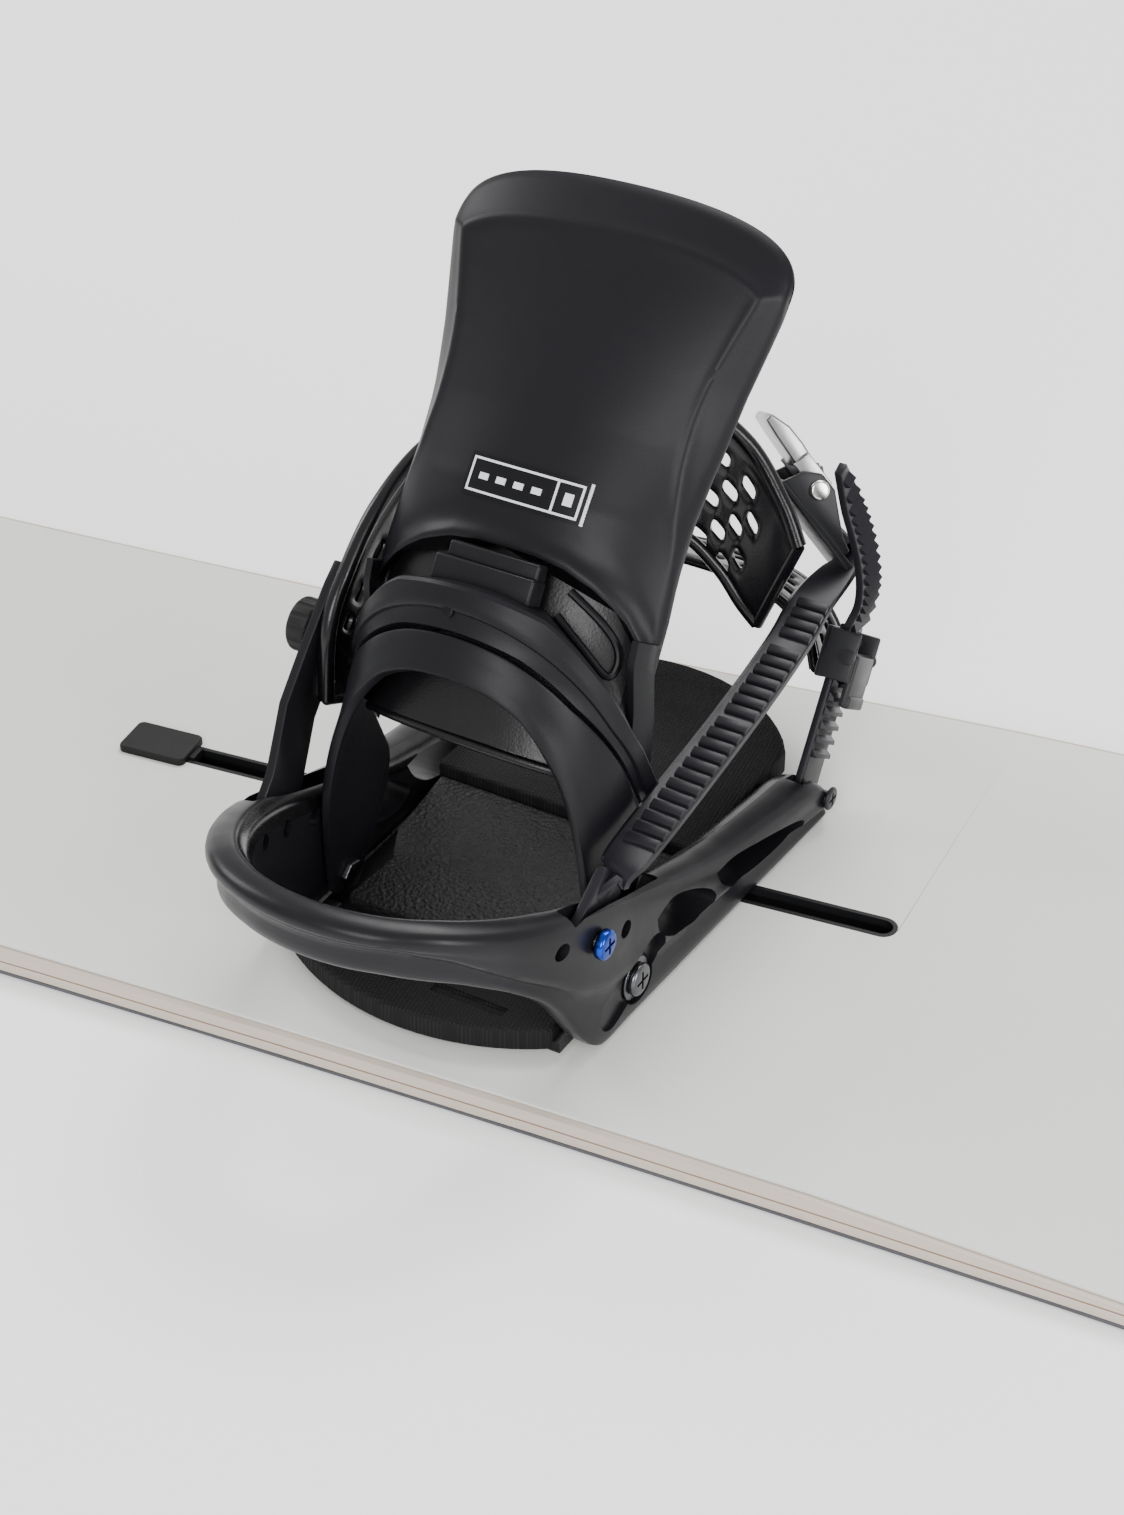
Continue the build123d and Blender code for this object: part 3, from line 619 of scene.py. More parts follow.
def patch_on_shell(x0, x1, up0, up1, height, finish, columns=14):
    """Thin raised patch that follows the shell's outer face."""
    rows = []
    for k in range(columns + 1):
        x = mix(x0, x1, k / columns)
        section = ((up0, 0.02), (up0, height), (up1, height), (up1, 0.02))
        rows.append([shell_point(x, shell_back(x, up) + lift, up) for up, lift in section])
    return paint(loft(rows), finish)


def build_label():
    """Plain badge: a framed plate with four dashes and a mark."""
    half, low, high, line = 20.5, 131.0, 144.0, 0.7
    parts = [patch_on_shell(-half, half, low, high, 0.55, "label_black")]
    inset = 1.2
    for up in (low + inset, high - inset - line):
        parts.append(patch_on_shell(-half + inset, half - inset, up, up + line, 0.7, "label_white"))
    for x in (-half + inset, 10.4, half - inset - line):
        parts.append(patch_on_shell(x, x + line, low + inset, high - inset, 0.7, "label_white", 2))
    for k in range(4):
        x = -15.5 + 6.2 * k
        parts.append(patch_on_shell(x, x + 3.2, low + 5.4, low + 7.4, 0.72, "label_white", 2))
    parts.append(patch_on_shell(13.8, 16.6, low + 4.6, low + 8.4, 0.74, "label_white", 2))
    parts.append(patch_on_shell(half, half + 1.0, low, high, 0.5, "label_silver", 2))
    return parts


def build_cushion():
    """Foam pad on the shell's front: crowned, thinner at its edges, with a double rolled lower lip."""
    rows = []
    for k in range(45):
        v = k / 44
        up = mix(60, 195, v)
        end = min(1.0, 9 * v + 0.25, 9 * (1 - v) + 0.25)
        back_row, front_row = [], []
        for j in range(33):
            u = -1 + j / 16
            x = 43.2 * u * (0.95 + 0.05 * end)
            rim = sqrt(max(0.0, 1 - abs(u) ** 5)) * sqrt(end)
            roll = 0.9 * cos(max(0.0, 34 - (up - 60)) / 34 * 4 * pi) if up < 94 else 0.9
            groove = 0.9 * exp(-((up - 130) / 3.0) ** 2) + 0.9 * exp(-((up - 165) / 3.0) ** 2)
            thick = 5.4 * rim + roll * rim - groove * rim
            rear = shell_back(x, up, 4.5)
            back_row.append(shell_point(x, rear, up))
            front_row.append(shell_point(x, rear - 0.4 - max(0.0, thick), up))
        rows.append(back_row + front_row[::-1])
    return loft(rows)


# ---- baseplate ----
WALL_TOP = [(-146, 80.5), (-130, 76.4), (-100, 66), (-75, 56.5), (-57, 49.5), (-35, 41.5), (-15, 35), (0, 31),
            (13, 28.4), (43, 23.5), (54, 22), (61, 19.8), (66, 15.5), (69.5, 7)]
WALL_LOW = [(-146, 62), (-140, 61), (-126, 55), (-114, 47), (-101, 36), (-93, 26), (-86, 12), (-77, 1.5),
            (-75, 0.5), (69.5, 0.5)]
CREASE = [(-146, 72.5), (-138, 71.5), (-128, 66), (-112, 52), (-98, 41), (-86, 30), (-70, 22), (-40, 17),
          (0, 13), (40, 9.5), (69.5, 5.5)]
WALL_FOOT = 0.45                         # lowest edge of the walls, clear of the topsheet
OUTER_SIDE, INNER_SIDE = 62.5, 50.3
OUTER_REAR, INNER_REAR = -144.7, -133.5


def wall_stations():
    """Inner and outer plan points from the right toe round the heel to the left toe."""
    half = []
    for k in range(46):
        y = mix(69.5, -60, k / 45)
        half.append(((INNER_SIDE, y), (mix(OUTER_SIDE, 71.0, (y + 60) / 129.5), y)))
    bends = []
    for side, rear in ((INNER_SIDE, INNER_REAR), (OUTER_SIDE, OUTER_REAR)):
        reach = rear + 60
        bends.append([(side, -60), (side, -60 + 0.62 * reach), (0.62 * side, rear), (0, rear)])
    for k in range(1, 33):
        t = k / 32
        half.append((tuple(bezier(bends[0], t)), tuple(bezier(bends[1], t))))
    return half + [((-i[0], i[1]), (-o[0], o[1])) for i, o in reversed(half[:-1])]


def build_walls():
    """Side walls and heel hoop in one sweep, with a glossy inner rim."""
    rows = []
    for (ix, iy), (ox, oy) in wall_stations():
        y = mix(iy, oy, 0.5)
        top, low, crease = table(WALL_TOP, oy), table(WALL_LOW, oy), table(CREASE, oy)
        top_in = table(WALL_TOP, iy) - 1.5
        low_in = min(table(WALL_LOW, iy), top - 4)
        flare = 0.16 * smooth((-60 - y) / 50)
        tall = top - low
        crease = min(crease, top - 0.3 * tall)
        # (share of the way out, height)
        section = [(0.0, low_in), (0.0, mix(low_in, top_in, 0.55)), (0.02, top_in - 5.5),
                   (0.10, top_in - 1.2), (0.30, top_in - 0.1), (0.36, top - 0.9), (0.50, top - 0.1),
                   (0.80 + flare, top - 0.5), (1.00 + flare, top - 2.2),
                   (1.03 + flare, top - 0.32 * tall + 0.5),
                   (0.97 + flare * 0.8, mix(crease, top, 0.28)), (1.06 + flare * 0.6, crease + 0.9),
                   (0.80 + flare * 0.4, crease - 1.0), (0.95 + flare * 0.2, mix(low, crease, 0.5)),
                   (0.94, low + 0.9), (0.86, low)]
        rows.append([Vector((mix(ix, ox, share), mix(iy, oy, share), max(z, WALL_FOOT)))
                     for share, z in section])
    obj = paint(loft(rows), "binding_plastic")
    obj.data.materials.append(MATERIALS["gloss_rim"])
    size = len(rows[0])
    for i, poly in enumerate(obj.data.polygons):
        if i % size in (2, 3, 4) and i < size * (len(rows) - 1):
            poly.material_index = 1
    return obj


WINDOWS = [[(-45, 32), (-36, 34.5), (-24, 30), (-12, 22), (-9, 16), (-18, 12.5), (-32, 17), (-42, 24)],
           [(-9, 26.5), (2, 26), (20, 21.5), (38, 16), (49, 11), (42, 7.6), (20, 9), (4, 13), (-5, 19.5)]]


# centres of the three ankle strap holes: y, z
STRAP_HOLES = [(-79.9 + step * 16.5, 47.2 - step * 6.6) for step in (-1, 0, 1)]
DISC_CENTRE, DISC_RADIUS, FLOOR_TOP = (0, 8.5, 0), 44.4, 4.4


def build_baseplate():
    walls = build_walls()
    subdivide(walls, 1)
    tools = []
    for side in (-1, 1):
        x0, x1 = sorted((side * 44, side * 80))
        for window in WINDOWS:
            curve = spline([(y, z, 0) for y, z in [*window, window[0]]], 41)[:-1]
            tools.append(prism([(p.x, p.y) for p in curve], x0, x1))
        pocket = [(-90.6, 36), (-90.6, 92), (-38, 92), (-38, 41), (-48, 32)]
        tools.append(prism(pocket, *sorted((side * 53.6, side * 60.1)), 1.0))
        toe_slot = [(54.5, -2), (54.5, 40), (82, 40), (82, -2)]
        tools.append(prism(toe_slot, *sorted((side * 59.4, side * 65.8))))
        for y, z in STRAP_HOLES:
            tools.append(disc((side * 44, y, z), (side, 0, 0), 3.0, 36, 0))
        tools.append(disc((side * 59.8, HINGE.y, HINGE.z), (side, 0, 0), 8.4, 20, 0))
        slot = arc_points((-46, 19.5), 6.6, -70, 110, 10) + arc_points((-69, 11.5), 6.6, 110, 290, 10)
        tools.append(prism(slot, *sorted((side * 60.2, side * 80))))
    cut(walls, tools)
    # floor plate: round hole for the disc, straight edges under the walls
    floor_rows = [[], [], [], []]
    centre = Vector(DISC_CENTRE)
    centre.rotate(Matrix.Rotation(TOE_OUT, 4, "Z"))
    for k in range(96):
        a = 2 * pi * k / 96
        dx, dy = cos(a), sin(a)
        reach = min(51 / abs(dx) if dx else 1e9, (54 if dy > 0 else 76) / abs(dy) if dy else 1e9)
        ring = ((DISC_RADIUS, 0.5), (DISC_RADIUS, FLOOR_TOP), (reach, FLOOR_TOP), (reach, 0.5))
        for row, (r, z) in zip(floor_rows, ring):
            round_edge = r == DISC_RADIUS
            row.append(Vector((centre.x * round_edge + dx * r, mix(-7, centre.y, round_edge) + dy * r, z)))
    floor_rows.append(list(floor_rows[0]))
    parts = [walls, grid(floor_rows, closed=True)]
    for side in (-1, 1):
        for y in (-64, 52):
            parts.append(block((side * 46 - 3, y - 3, 4.2), (side * 46 + 3, y + 3, 7.2), 0.8))
    return parts


def pad_solid(outline, z_low, z_high, bevel=1.3):
    """Flat pad over a plan outline with rounded edges."""
    obj = prism(outline, z_low, z_high, plane="xy")
    round_edges(obj, bevel, 4, 50)
    return obj


def arc_points(centre, radius, start, end, count=24):
    """Points on an arc between two angles in degrees."""
    angles = [radians(mix(start, end, k / count)) for k in range(count + 1)]
    return [(centre[0] + radius * cos(a), centre[1] + radius * sin(a)) for a in angles]


def build_pads():
    mid = [(39.6, -63), (37.8, -40), (44.8, -25), (48, 7.6)]
    outline = [(-39.6, -63), *mid, *[(-x, y) for x, y in mid[:0:-1]]]
    bed = paint(pad_solid(outline, 7.45, 13.8), "footbed_foam")
    place_pair([bed], "footbed", "base", "foam_pad")

    front = arc_points((-3.5, 41.8), 63.2, 12, 168)
    front = [(max(-50, min(50, x)), y) for x, y in front]
    toe = pad_solid([(50, 8.5), *front, (-50, 8.5)], 7.5, 17.4)
    place_pair([toe], "toe_pad", "base", "foam_pad")

    rear = arc_points((0, -13.7), 85.0, 235.5, 304.5)
    heel = pad_solid([(-48, -70.6), *rear, (48, -70.6)], 0.9, 9.5, bevel=1.6)
    slots = ((-30, -6, -86), (6, 32, -84))
    cut(heel, [block((x0, y - 2.2, 8.2), (x1, y + 2.2, 12), 0.5) for x0, x1, y in slots])
    place_pair([heel], "heel_pad", "base", "foam_pad")


# ---- straps ----
LINK_ANGLE = radians(46.5)
ANCHOR = Vector((0, *STRAP_HOLES[1]))    # ankle strap screws
KNOB_Y = ANCHOR.y + 62.7 * cos(LINK_ANGLE)
KNOB_Z = ANCHOR.z + 62.7 * sin(LINK_ANGLE)
STRAP_X = 56.4
BUCKLE_ORIGIN = Vector((43.3, 105.7, 86.9))
ALONG = Vector((-0.66, -0.10, 0.745)).normalized()
OUT = Vector((0.50, 0.72, 0.54)).normalized()
ACROSS = ALONG.cross(OUT).normalized()
BUCKLE = basis(ALONG, -ACROSS, OUT, BUCKLE_ORIGIN)
TOP_EDGE = [(-55.8, -46, 74), (-56, -43, 96), (-56.2, -34, 110), (-56.3, -12, 127), (-53, 16, 138),
            (-38, 43, 145), (-14, 62, 147), (8, 75, 142), (25.5, 84, 126.5), (40, 82.5, 109),
            (48, 79.5, 96)]
LOW_EDGE = [(-56, -34, 68), (-56, -20, 74), (-56, -5, 78), (-55.5, 8, 81), (-54.6, 24, 88),
            (-50.4, 38, 95), (-37, 52, 99), (-15, 64, 99), (6, 74, 92), (19, 78, 80), (28, 79, 68),
            (34, 80, 61)]


def strap_surface(tops, lows, thick, holes, bead):
    """Moulded strap: a skin with elongated holes between two rolled beads."""
    count, across = 97, 12
    top, low = spline(tops, count), spline(lows, count)
    verts = [mix(top[i], low[i], (j + 0.5) / across) for i in range(count) for j in range(across)]
    faces = []
    for i in range(count - 1):
        for j in range(across - 1):
            if not holes(i, j, count):
                a = i * across + j
                faces.append((a, a + 1, a + across + 1, a + across))
    obj = make(verts, faces)
    mod = obj.modifiers.new("thick", "SOLIDIFY")
    mod.thickness = thick
    mod.offset = 0
    apply_all(obj)
    subdivide(obj, 1)
    parts = [obj, tube(top, bead), tube(low, bead * 0.8)]
    for i in (0, count - 1):
        parts.append(tube(spline([top[i], mix(top[i], low[i], 0.5), low[i]], 12), bead * 0.8))
    return parts


def ankle_holes(i, j, count):
    """Whether a cell of the skin is open: five staggered rows, clear of both ends."""
    return 12 <= i <= count - 14 and j in (2, 4, 6, 8, 10) and (i + 3 * (j % 4 == 0)) % 6 < 3


def toe_holes(i, j, count):
    """Three slanted rows of longer openings."""
    return 8 < i < count - 9 and j in (3, 6, 8) and (i + j) % 8 < 5


def on_side(points, x, y, z, angle):
    """Flat strap-end points (along, up, out) stood up in the plane x."""
    c, s = cos(angle), sin(angle)
    return [Vector((x + out, y + along * c - up * s, z + along * s + up * c)) for along, up, out in points]


def flat_bar(length, width, thick, x, y, z, angle, taper=0.0):
    """Strap end with a round eye and softened edges."""
    outline = [(width / 2 * cos(radians(a)), width / 2 * sin(radians(a)))
               for a in range(90, 271, 12)]
    outline += [(length, -width / 2 + taper), (length, width / 2 - taper)]
    rows = [on_side([(a, u, o) for a, u in outline], x, y, z, angle) for o in (-thick / 2, thick / 2)]
    obj = loft(rows)
    round_edges(obj, 0.7, 3, 40)
    return obj


def teeth_row(start, end, pitch, height, widths, x, y, z, angle):
    """Row of square-shouldered teeth standing on a strap end."""
    outline = [(start, -0.3)]
    for k in range(int((end - start) / pitch)):
        at = start + k * pitch
        outline += [(at, 0.1), (at + 0.15, height), (at + 0.32 * pitch, height * 0.92),
                    (at + 0.62 * pitch, 0.1), (at + 0.99 * pitch, 0.1)]
    outline.append((outline[-1][0], -0.3))
    rows = [on_side([(a, w, o) for a, o in outline], x, y, z, angle) for w in widths]
    obj = loft(rows)
    round_edges(obj, 0.2, 2, 30)
    return obj


def tooth(here, run, face, across, profile, ends):
    """Bar across a strap: a profile of (along, out) points, carried between two ends."""
    row = [here + run * a + face * b for a, b in profile]
    return loft([[p + across * w for p in row] for w in ends])


def ribbon(stations, thick):
    """Flat strip through (centre, across vector, width, face normal)."""
    rows = []
    for centre, across, width, normal in stations:
        a, n = across.normalized() * (width / 2), normal.normalized() * (thick / 2)
        rows.append([centre - a - n, centre + a - n, centre + a + n, centre - a + n])
    obj = loft(rows)
    round_edges(obj, 0.5, 2, 40)
    return obj


def screw_head(centre, axis, radius, height, finish):
    """Round-edged head with a cross recess, on an axis along x."""
    axis = Vector(axis)
    head = disc(centre, axis, radius, height, radius * 0.22)
    tip = Vector(centre) + axis * (height - 0.9)
    lo, hi = sorted((tip.x, tip.x + axis.x * 3))
    bars = []
    for dy, dz in ((radius * 0.62, 0.55), (0.55, radius * 0.62)):
        bars.append(block((lo, tip.y - dy, tip.z - dz), (hi, tip.y + dy, tip.z + dz), 0.0))
    cut(head, bars)
    return paint(head, finish)


# ankle ladder above its eye: (centre, width direction, width)
LADDER_PATH = [((56.5, -71, 52.4), (0, -0.5, 0.86), 14), ((57.0, -62.5, 57.7), (0.7, -0.3, 0.65), 12.5),
               ((58.6, -53, 62.0), (1, 0, 0), 15), ((58.6, 13, 69.6), (1, 0, 0), 15),
               ((57.0, 55, 74.4), (1, 0, 0), 15), ((54.6, 78, 77.4), (1, 0, 0), 15)]


TOOTH_PITCH = 5.4


def build_ankle_ladder():
    """Toothed strap: eye on edge at its screw, a quarter twist, then flat up to the buckle."""
    eye = flat_bar(20, 18, 3.4, STRAP_X, ANCHOR.y, ANCHOR.z, radians(31))
    cut(eye, [disc((STRAP_X - 6, ANCHOR.y, ANCHOR.z), (1, 0, 0), 2.7, 12, 0)])
    knots = list(LADDER_PATH)
    for along, out, width in ((-12, 3.8, 16), (2, 4.6, 16), (18.5, 12.5, 14)):
        knots.append((BUCKLE @ Vector((along, 0, out)), -ACROSS, width))
    path, turns = (spline([knot[i] for knot in knots], 90) for i in (0, 1))
    widths = spline([(width, 0, 0) for _, _, width in knots], 90)
    rows = []
    for i, here in enumerate(path):
        run = run_at(path, i).normalized()
        across = (turns[i] - run * turns[i].dot(run)).normalized()
        face, half = run.cross(across), widths[i].x / 2
        flange = ((-half, -1.2), (-half + 1, -1.7), (half - 1.4, -1.7), (half, -0.6), (half, 1.6),
                  (half - 1.2, 2.6), (half - 3.2, 2.6), (half - 3.8, 1.5), (-half + 1.0, 1.5),
                  (-half, 0.8))
        rows.append([here + across * -a + face * b for a, b in flange])
    parts = [eye, loft(rows)]
    profile = ((-1.9, 1.3), (2.3, 1.3), (1.5, 3.5), (-1.5, 2.9))
    for (low, _, _), (high, _, _) in zip(LADDER_PATH[2:], LADDER_PATH[3:6]):
        low, high = Vector(low), Vector(high)
        run = (high - low).normalized()
        across = Vector((1, 0, 0))
        for k in range(int((high - low).length / TOOTH_PITCH)):
            here = low + run * (k + 0.5) * TOOTH_PITCH
            parts.append(tooth(here, run, across.cross(run), across, profile, (-3.6, 7.3)))
            round_edges(parts[-1], 0.25, 2)
    place_pair(parts, "ankle_ladder", "ankle", "ladder_plastic")


def build_ankle_link():
    """Strap from the left screw up over the padded strap."""
    c, s = cos(LINK_ANGLE), sin(LINK_ANGLE)
    lift = Vector((0, -s, c))
    stations = []
    for x, along in ((-56.4, -8), (-56.4, 4), (-56.5, 14), (-58.6, 25), (-60.8, 36), (-61, 50),
                     (-61, 64), (-60.9, 76), (-60.2, 84)):
        centre = Vector((x, ANCHOR.y + along * c, ANCHOR.z + along * s))
        stations.append((centre, lift, 15 if along == -8 else 19.6, Vector((1, 0, 0))))
    link = ribbon(stations, 3.3)
    rib = [(p + Vector((-1.9, 0, 0)) + lift * 5, a, 1.6, n) for p, a, _, n in stations[3:]]
    # the carrier strap goes on over the pad from the link's end
    carrier = []
    over = spline([(-60.4, -24, 107), (-60.6, -14, 118), (-59.2, 2, 130), (-52, 26, 142), (-40, 45, 147)], 24)
    low = spline([(-60.4, -10, 93), (-60.6, 0, 102), (-59.5, 14, 112), (-54, 36, 121), (-42, 54, 124)], 24)
    for i in range(24):
        across = over[i] - low[i]
        carrier.append(((over[i] + low[i]) / 2, across, across.length, run_at(over, i).cross(across)))
    collar = disc((-63.1, KNOB_Y, KNOB_Z), (1, 0, 0), 4.4, 1.2)
    parts = [link, ribbon(rib, 1.2), ribbon(carrier, 2.2), collar]
    place_pair(parts, "ankle_link", "ankle", "binding_plastic")


def build_knob():
    centre = Vector((-71.2, KNOB_Y, KNOB_Z))
    knob = disc(centre, (1, 0, 0), 9.0, 7.8, 1.6, sides=48)
    notches = []
    for k in range(14):
        a = pi * 2 * k / 14
        edge = centre + Vector((-1, 9.7 * cos(a), 9.7 * sin(a)))
        notches.append(disc(edge, (1, 0, 0), 1.3, 10, 0, 12))
    cut(knob, notches)
    hub = disc(centre - Vector((0.5, 0, 0)), (1, 0, 0), 4.2, 2, 0.4)
    shaft = disc(centre + Vector((7.5, 0, 0)), (1, 0, 0), 2.5, 4.4, 0.2)
    parts = [knob, paint(hub, "screw_steel"), paint(shaft, "screw_steel")]
    place_pair(parts, "ankle_knob", "knob", "soft_rubber")


def build_ankle_buckle():
    """Ratchet buckle with its lever, along BUCKLE's axes."""
    plate = block((-14, -13.8, -2.4), (24, 13.8, 0.3), 0.8, BUCKLE)
    parts = [paint(plate, "dark_metal")]
    outline = [(-9, -0.5), (24, -0.5), (22, 7), (17.5, 11.2), (10.5, 11.2), (-4, 3.5), (-9, 2.5)]
    for side in (-1, 1):
        cheek = prism(outline, *sorted((side * 11.25, side * 13.8)), 0.6, "xz")
        cheek.data.transform(BUCKLE)
        rivet = disc(BUCKLE @ Vector((14, side * 13.6, 7)), -ACROSS * side, 3.4, 1.9, 1.2)
        parts += [paint(cheek, "dark_metal"), paint(rivet, "rivet_silver")]
    for a, w in ((-10.5, 0), (20, 7), (20, -7)):
        rivet = disc(BUCKLE @ Vector((a, w, 0.2)), OUT, 2.1, 1.3, 0.5)
        parts.append(paint(rivet, "rivet_silver"))
    place_pair(parts, "ankle_buckle", "ankle", "buckle_metal")

    outline = [(22.8, 6.4), (29, 6.8), (36, 7.2), (43, 7.8), (43.6, 10.6), (36, 12.9), (29, 13.0),
               (22.8, 12.4)]
    handle = prism(outline, -9.4, 9.4, 0.8, "xz")
    handle.data.transform(BUCKLE)
    parts = [handle]
    for side in (-1, 1):
        lo, hi = sorted((side * 9.3, side * 10.8))
        parts.append(block((12, lo, 5.9), (25.5, hi, 12.2), 0.4, BUCKLE))
        parts.append(disc(BUCKLE @ Vector((14, side * 10.2, 7)), -ACROSS * side, 2.35, 5.0, 0.3))
    parts.append(block((25, -8.8, 7.2), (28, 8.8, 9.6), 0.5, BUCKLE))
    place_pair(parts, "ankle_lever", "ankle_catch", "buckle_metal")


# free end of the toe ladder above its buckle: (centre, width)
TOE_TIP = [((61.9, 96.0, 58.6), 16.5), ((65.2, 97.0, 70), 15), ((66.9, 94.5, 81), 13),
           ((66.8, 90.5, 94), 11.5), ((66.2, 84.6, 107), 10.5), ((65.3, 78.5, 119), 9),
           ((64.2, 71.5, 134), 4.5)]
TOE_SCREW = (65, 11)                     # toe strap screws: y, z
TOE_ANGLE = radians(57)             # how steeply the toe strap's ends rise


def build_toe_ladder():
    """Straight toothed end on its screw, then the free tip that arcs up past the buckle."""
    bar = flat_bar(58.5, 17, 3.0, 61.9, *TOE_SCREW, TOE_ANGLE, 0.4)
    teeth = [teeth_row(12, 58, 5.0, 2.2, (-7.0, 7.0), 63.3, *TOE_SCREW, TOE_ANGLE)]
    path = spline([point for point, _ in TOE_TIP], 50)
    widths = spline([(width, 0, 0) for _, width in TOE_TIP], 50)
    profile = ((-2.2, 1.2), (1.6, 1.2), (-1.4, 3.4))
    stations = []
    for i, here in enumerate(path):
        run = run_at(path, i).normalized()
        across = Vector((1, 0, 0)).cross(run).normalized()
        face, width = run.cross(across), widths[i].x
        stations.append((here, across, width, face))
        if i % 3 == 1 and 3 < i < 47:
            ends = (-0.38 * width, 0.38 * width)
            teeth.append(tooth(here, run, face.normalized(), across, profile, ends))
    parts = [bar, ribbon(stations, 2.8), *teeth]
    place_pair(parts, "toe_ladder", "toe", "ladder_plastic")


def build_toe_strap():
    link = flat_bar(50, 17, 3.0, -62.5, *TOE_SCREW, TOE_ANGLE, 1.0)
    boss = disc((-60.9, 90, 49.5), (-1, 0, 0), 4.0, 4.2, 0.8)
    place_pair([link, paint(boss, "screw_steel")], "toe_link", "toe", "binding_plastic")

    tops = [(-58.5, 84, 42), (-57, 88, 50), (-50, 92, 57), (-28, 97, 64), (0, 98, 66), (28, 97, 64),
            (46, 92, 57), (53.8, 86, 46)]
    lows = [(-58.5, 104, 28), (-57, 112, 34), (-50, 120, 43), (-28, 128, 52), (0, 130, 54), (28, 128, 52),
            (46, 120, 43), (53.8, 110, 32)]
    strap = strap_surface(tops, lows, 2.8, toe_holes, 1.9)
    place_pair(strap, "toe_strap", "toe", "strap_plastic")


def build_toe_buckle():
    place = Matrix.Translation((0, 91.142, 51.256)) @ Matrix.Rotation(TOE_ANGLE - pi / 2, 4, "X")
    parts = [block((57.1, -10.9, -8.9), (59.7, 10.9, 8.9), 0.7, place)]
    for side in (-1, 1):
        lo, hi = sorted((side * 9.25, side * 10.9))
        parts.append(block((57.2, lo, -8.6), (69.8, hi, 8.6), 0.8, place))
        axis = place.to_3x3() @ Vector((0, side, 0))
        parts.append(disc(place @ Vector((67.5, side * 10.8, 0)), axis, 2.6, 1.4, 0.4))
    for part in parts:
        paint(part, "dark_metal")
    place_pair(parts, "toe_buckle", "toe", "buckle_metal")

    handle = block((67.6, -8.5, -16.8), (70.4, 8.5, 1.4), 1.1, place)
    tip = block((68.2, -7.6, -17), (71.2, 7.6, -12.5), 0.9, place)
    pin = disc(place @ Vector((67.5, -12.0, 0)), place.to_3x3() @ Vector((0, 1, 0)), 1.95, 24.0, 0.2)
    lever = [paint(part, "dark_metal") for part in (handle, tip, pin)]
    place_pair(lever, "toe_lever", "toe_catch", "buckle_metal")


def build_hardware():
    """Strap screws with their shanks, and the highback's hinge bolts."""
    # y, z, x of the seat, head radius, head height, finish
    screws = ((ANCHOR.y, ANCHOR.z, 62.7, 4.9, 3.4, "blue_metal"), (*TOE_SCREW, 71.2, 4.2, 1.6, "dark_metal"))
    heads, bolts = [], []
    for side in (-1, 1):
        for y, z, x, radius, height, finish in screws:
            axis = (side, 0, 0)
            heads.append(screw_head((side * x, y, z), axis, radius, height, finish))
            heads.append(paint(disc((side * 51.5, y, z), axis, 2.4, x - 51.2, 0.1), "screw_steel"))
    place_pair(heads, "strap_screws", "base", "blue_metal")
    for side in (-1, 1):
        axis = (side, 0, 0)
        bolts.append(disc((side * 45.6, HINGE.y, HINGE.z), axis, 2.95, 15, 0.1))
        bolts.append(disc((side * 59.9, HINGE.y, HINGE.z), axis, 7.4, 1.0, 0.2))
        bolts.append(screw_head((side * 60.7, HINGE.y, HINGE.z), axis, 5.6, 2.6, "screw_steel"))
        bolts.append(disc((side * 43.6, HINGE.y, HINGE.z), axis, 5.0, 2.3, 0.4, 6))
    place_pair(bolts, "hinge_bolts", "base", "screw_steel")


def build_highback():
    parts = [build_shell(), *build_recess(), *build_wings(), *build_ledge(), *build_label()]
    place_pair(parts, "highback", "back", "shell_plastic", 32)
    arch = build_arch()
    cut(arch, [disc((-60, HINGE.y, HINGE.z), (1, 0, 0), 3.1, 120, 0)])
    place_pair([arch], "highback_loop", "back", "shell_plastic")
    place_pair(build_adjuster(), "lean_adjuster", "lean_block", "binding_plastic")
    cushion = [build_cushion()]
    across = (-39, -26, -9, 9, 26, 38)
    for heights, size in (((64.9, 65.6, 67.0, 66.6, 64.6, 62.5), 1.1),
                          ((58.6, 58.6, 58.4, 58.0, 57.8, 57.8), 1.7)):
        points = [shell_point(x, shell_back(x, 64) - 7.5, up) for x, up in zip(across, heights)]
        cushion.append(tube(spline(points, 60), size))
    for part in cushion:
        paint(part, "cushion_foam")
    place_pair(cushion, "heel_cushion", "back", "foam_pad")


# ---- board: the CAD forms are the finished shapes; they take materials and soft edges ----
BOARD_NODES = {"base_sheet": "board_base", "steel_edges": "edge_steel", "core": "board_core",
               "sidewalls": "sidewall", "tip_spacers": "sidewall", "topsheet": "topsheet",
               "channel_rails": "rail_plastic", "channel_plugs": "soft_rubber"}
MOUNT_NODES = {"disc": "binding_plastic", "disc_screws": "screw_steel", "channel_nuts": "screw_steel"}


def finish_board():
    wanted = dict(BOARD_NODES)
    for side in ("right", "left"):
        wanted.update({f"{side}_{n}": m for n, m in MOUNT_NODES.items()})
    for node, slot in wanted.items():
        obj = paint(frame["nodes"][node], slot)
        weld = obj.modifiers.new("weld", "WELD")
        weld.merge_threshold = 0.00001
        if node in ("topsheet", "channel_plugs", "steel_edges", "sidewalls"):
            soft = obj.modifiers.new("soft", "BEVEL")
            soft.width = 0.0004 if node != "channel_plugs" else 0.0008
            soft.segments = 2
            soft.limit_method = "ANGLE"
            soft.angle_limit = radians(40)


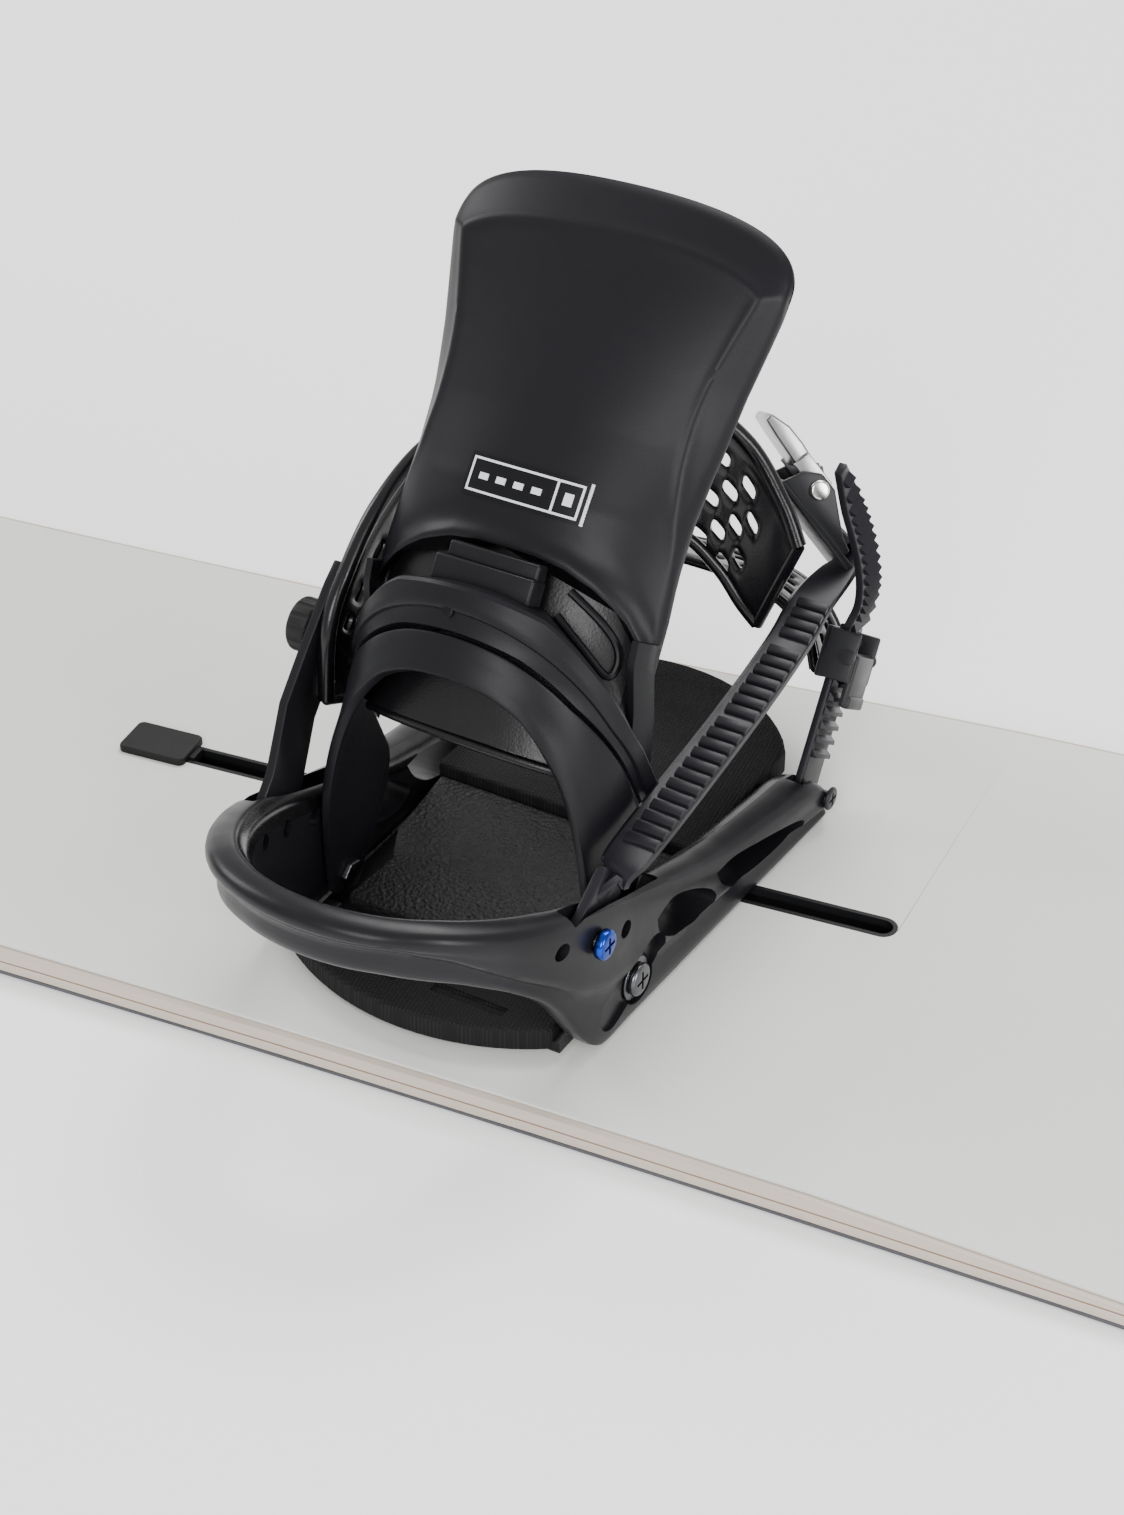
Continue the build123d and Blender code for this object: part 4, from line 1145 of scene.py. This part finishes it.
# ---- floor, light and camera ----
def build_stage():
    """Pale floor that curves up into a backdrop."""
    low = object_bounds()[0][2] - 0.0005
    profile = spline([(0, -4, low), (0, 0, low), (0, 2.2, low), (0, 3.6, low + 0.5), (0, 4.2, low + 1.6)], 40)
    rows = [[Vector((x, p.y, p.z)) for x in (-6, 6)] for p in profile]
    floor = grid(rows)
    floor.name = "floor"
    mat, tree, _ = new_material()
    mat.name = "studio_floor"
    shader = tree.nodes["Principled BSDF"]
    for socket, value in (("Base Color", (0.97, 0.97, 0.97, 1)), ("Roughness", 0.9),
                          ("Emission Color", (1, 1, 1, 1)), ("Emission Strength", 0.22)):
        shader.inputs[socket].default_value = value
    floor.data.materials.append(mat)
    shade(floor, 60)


def area_light(name, location, target, size, power):
    data = bpy.data.lights.new(name, "AREA")
    data.shape = "RECTANGLE"
    data.size, data.size_y = size
    data.energy = power
    lamp = add(name, data)
    lamp.location = location
    lamp.rotation_euler = (Vector(target) - Vector(location)).to_track_quat("-Z", "Y").to_euler()


def build_light():
    world = bpy.data.worlds.new("studio")
    bpy.context.scene.world = world
    world.use_nodes = True
    sky = world.node_tree.nodes["Background"].inputs
    sky["Color"].default_value = (1, 1, 1, 1)
    sky["Strength"].default_value = 0.74
    centre = (0.262, 0, 0.1)
    area_light("top", (0.3, 1.6, 2.4), (0.26, 0.1, 0), (1.6, 1.2), 62)
    area_light("right", (1.7, -0.8, 0.8), (0.26, 0, 0.15), (0.5, 1.0), 18)
    area_light("left", (-1.5, 0.3, 1.2), centre, (0.6, 1.0), 16)
    area_light("front", (0.42, -1.7, 1.05), centre, (0.5, 0.9), 20)


def build_camera():
    """Camera above and behind the right-foot binding, placed from its disc."""
    data = bpy.data.cameras.new("camera")
    data.sensor_fit = "VERTICAL"
    data.sensor_height = 36
    data.lens = 63.65
    yaw, elev, roll = 0.3867, 0.6206, 0.0026
    camera = add("camera", data)
    look = Vector((-sin(yaw) * cos(elev), cos(yaw) * cos(elev), -sin(elev)))
    right = look.cross(Vector((0, 0, 1))).normalized()
    up = right.cross(look)
    right, up = (cos(roll) * right + sin(roll) * up, -sin(roll) * right + cos(roll) * up)
    stance = joints["right_stance_angle"]["pos_m"]
    position = Vector((stance[0] + 0.27203, stance[1] - 0.66766, BOARD_TOP + 0.55233))
    camera.matrix_world = basis(right, up, -look, position)
    bpy.context.scene.camera = camera


finish_board()
place_pair(build_baseplate(), "baseplate", "base", "binding_plastic")
build_pads()
build_highback()
build_ankle_ladder()
build_ankle_link()
place_pair(strap_surface(TOP_EDGE, LOW_EDGE, 3.2, ankle_holes, 2.7), "ankle_strap", "ankle", "strap_plastic")
build_knob()
build_ankle_buckle()
build_toe_ladder()
build_toe_strap()
build_toe_buckle()
build_hardware()
build_stage()
build_light()
build_camera()
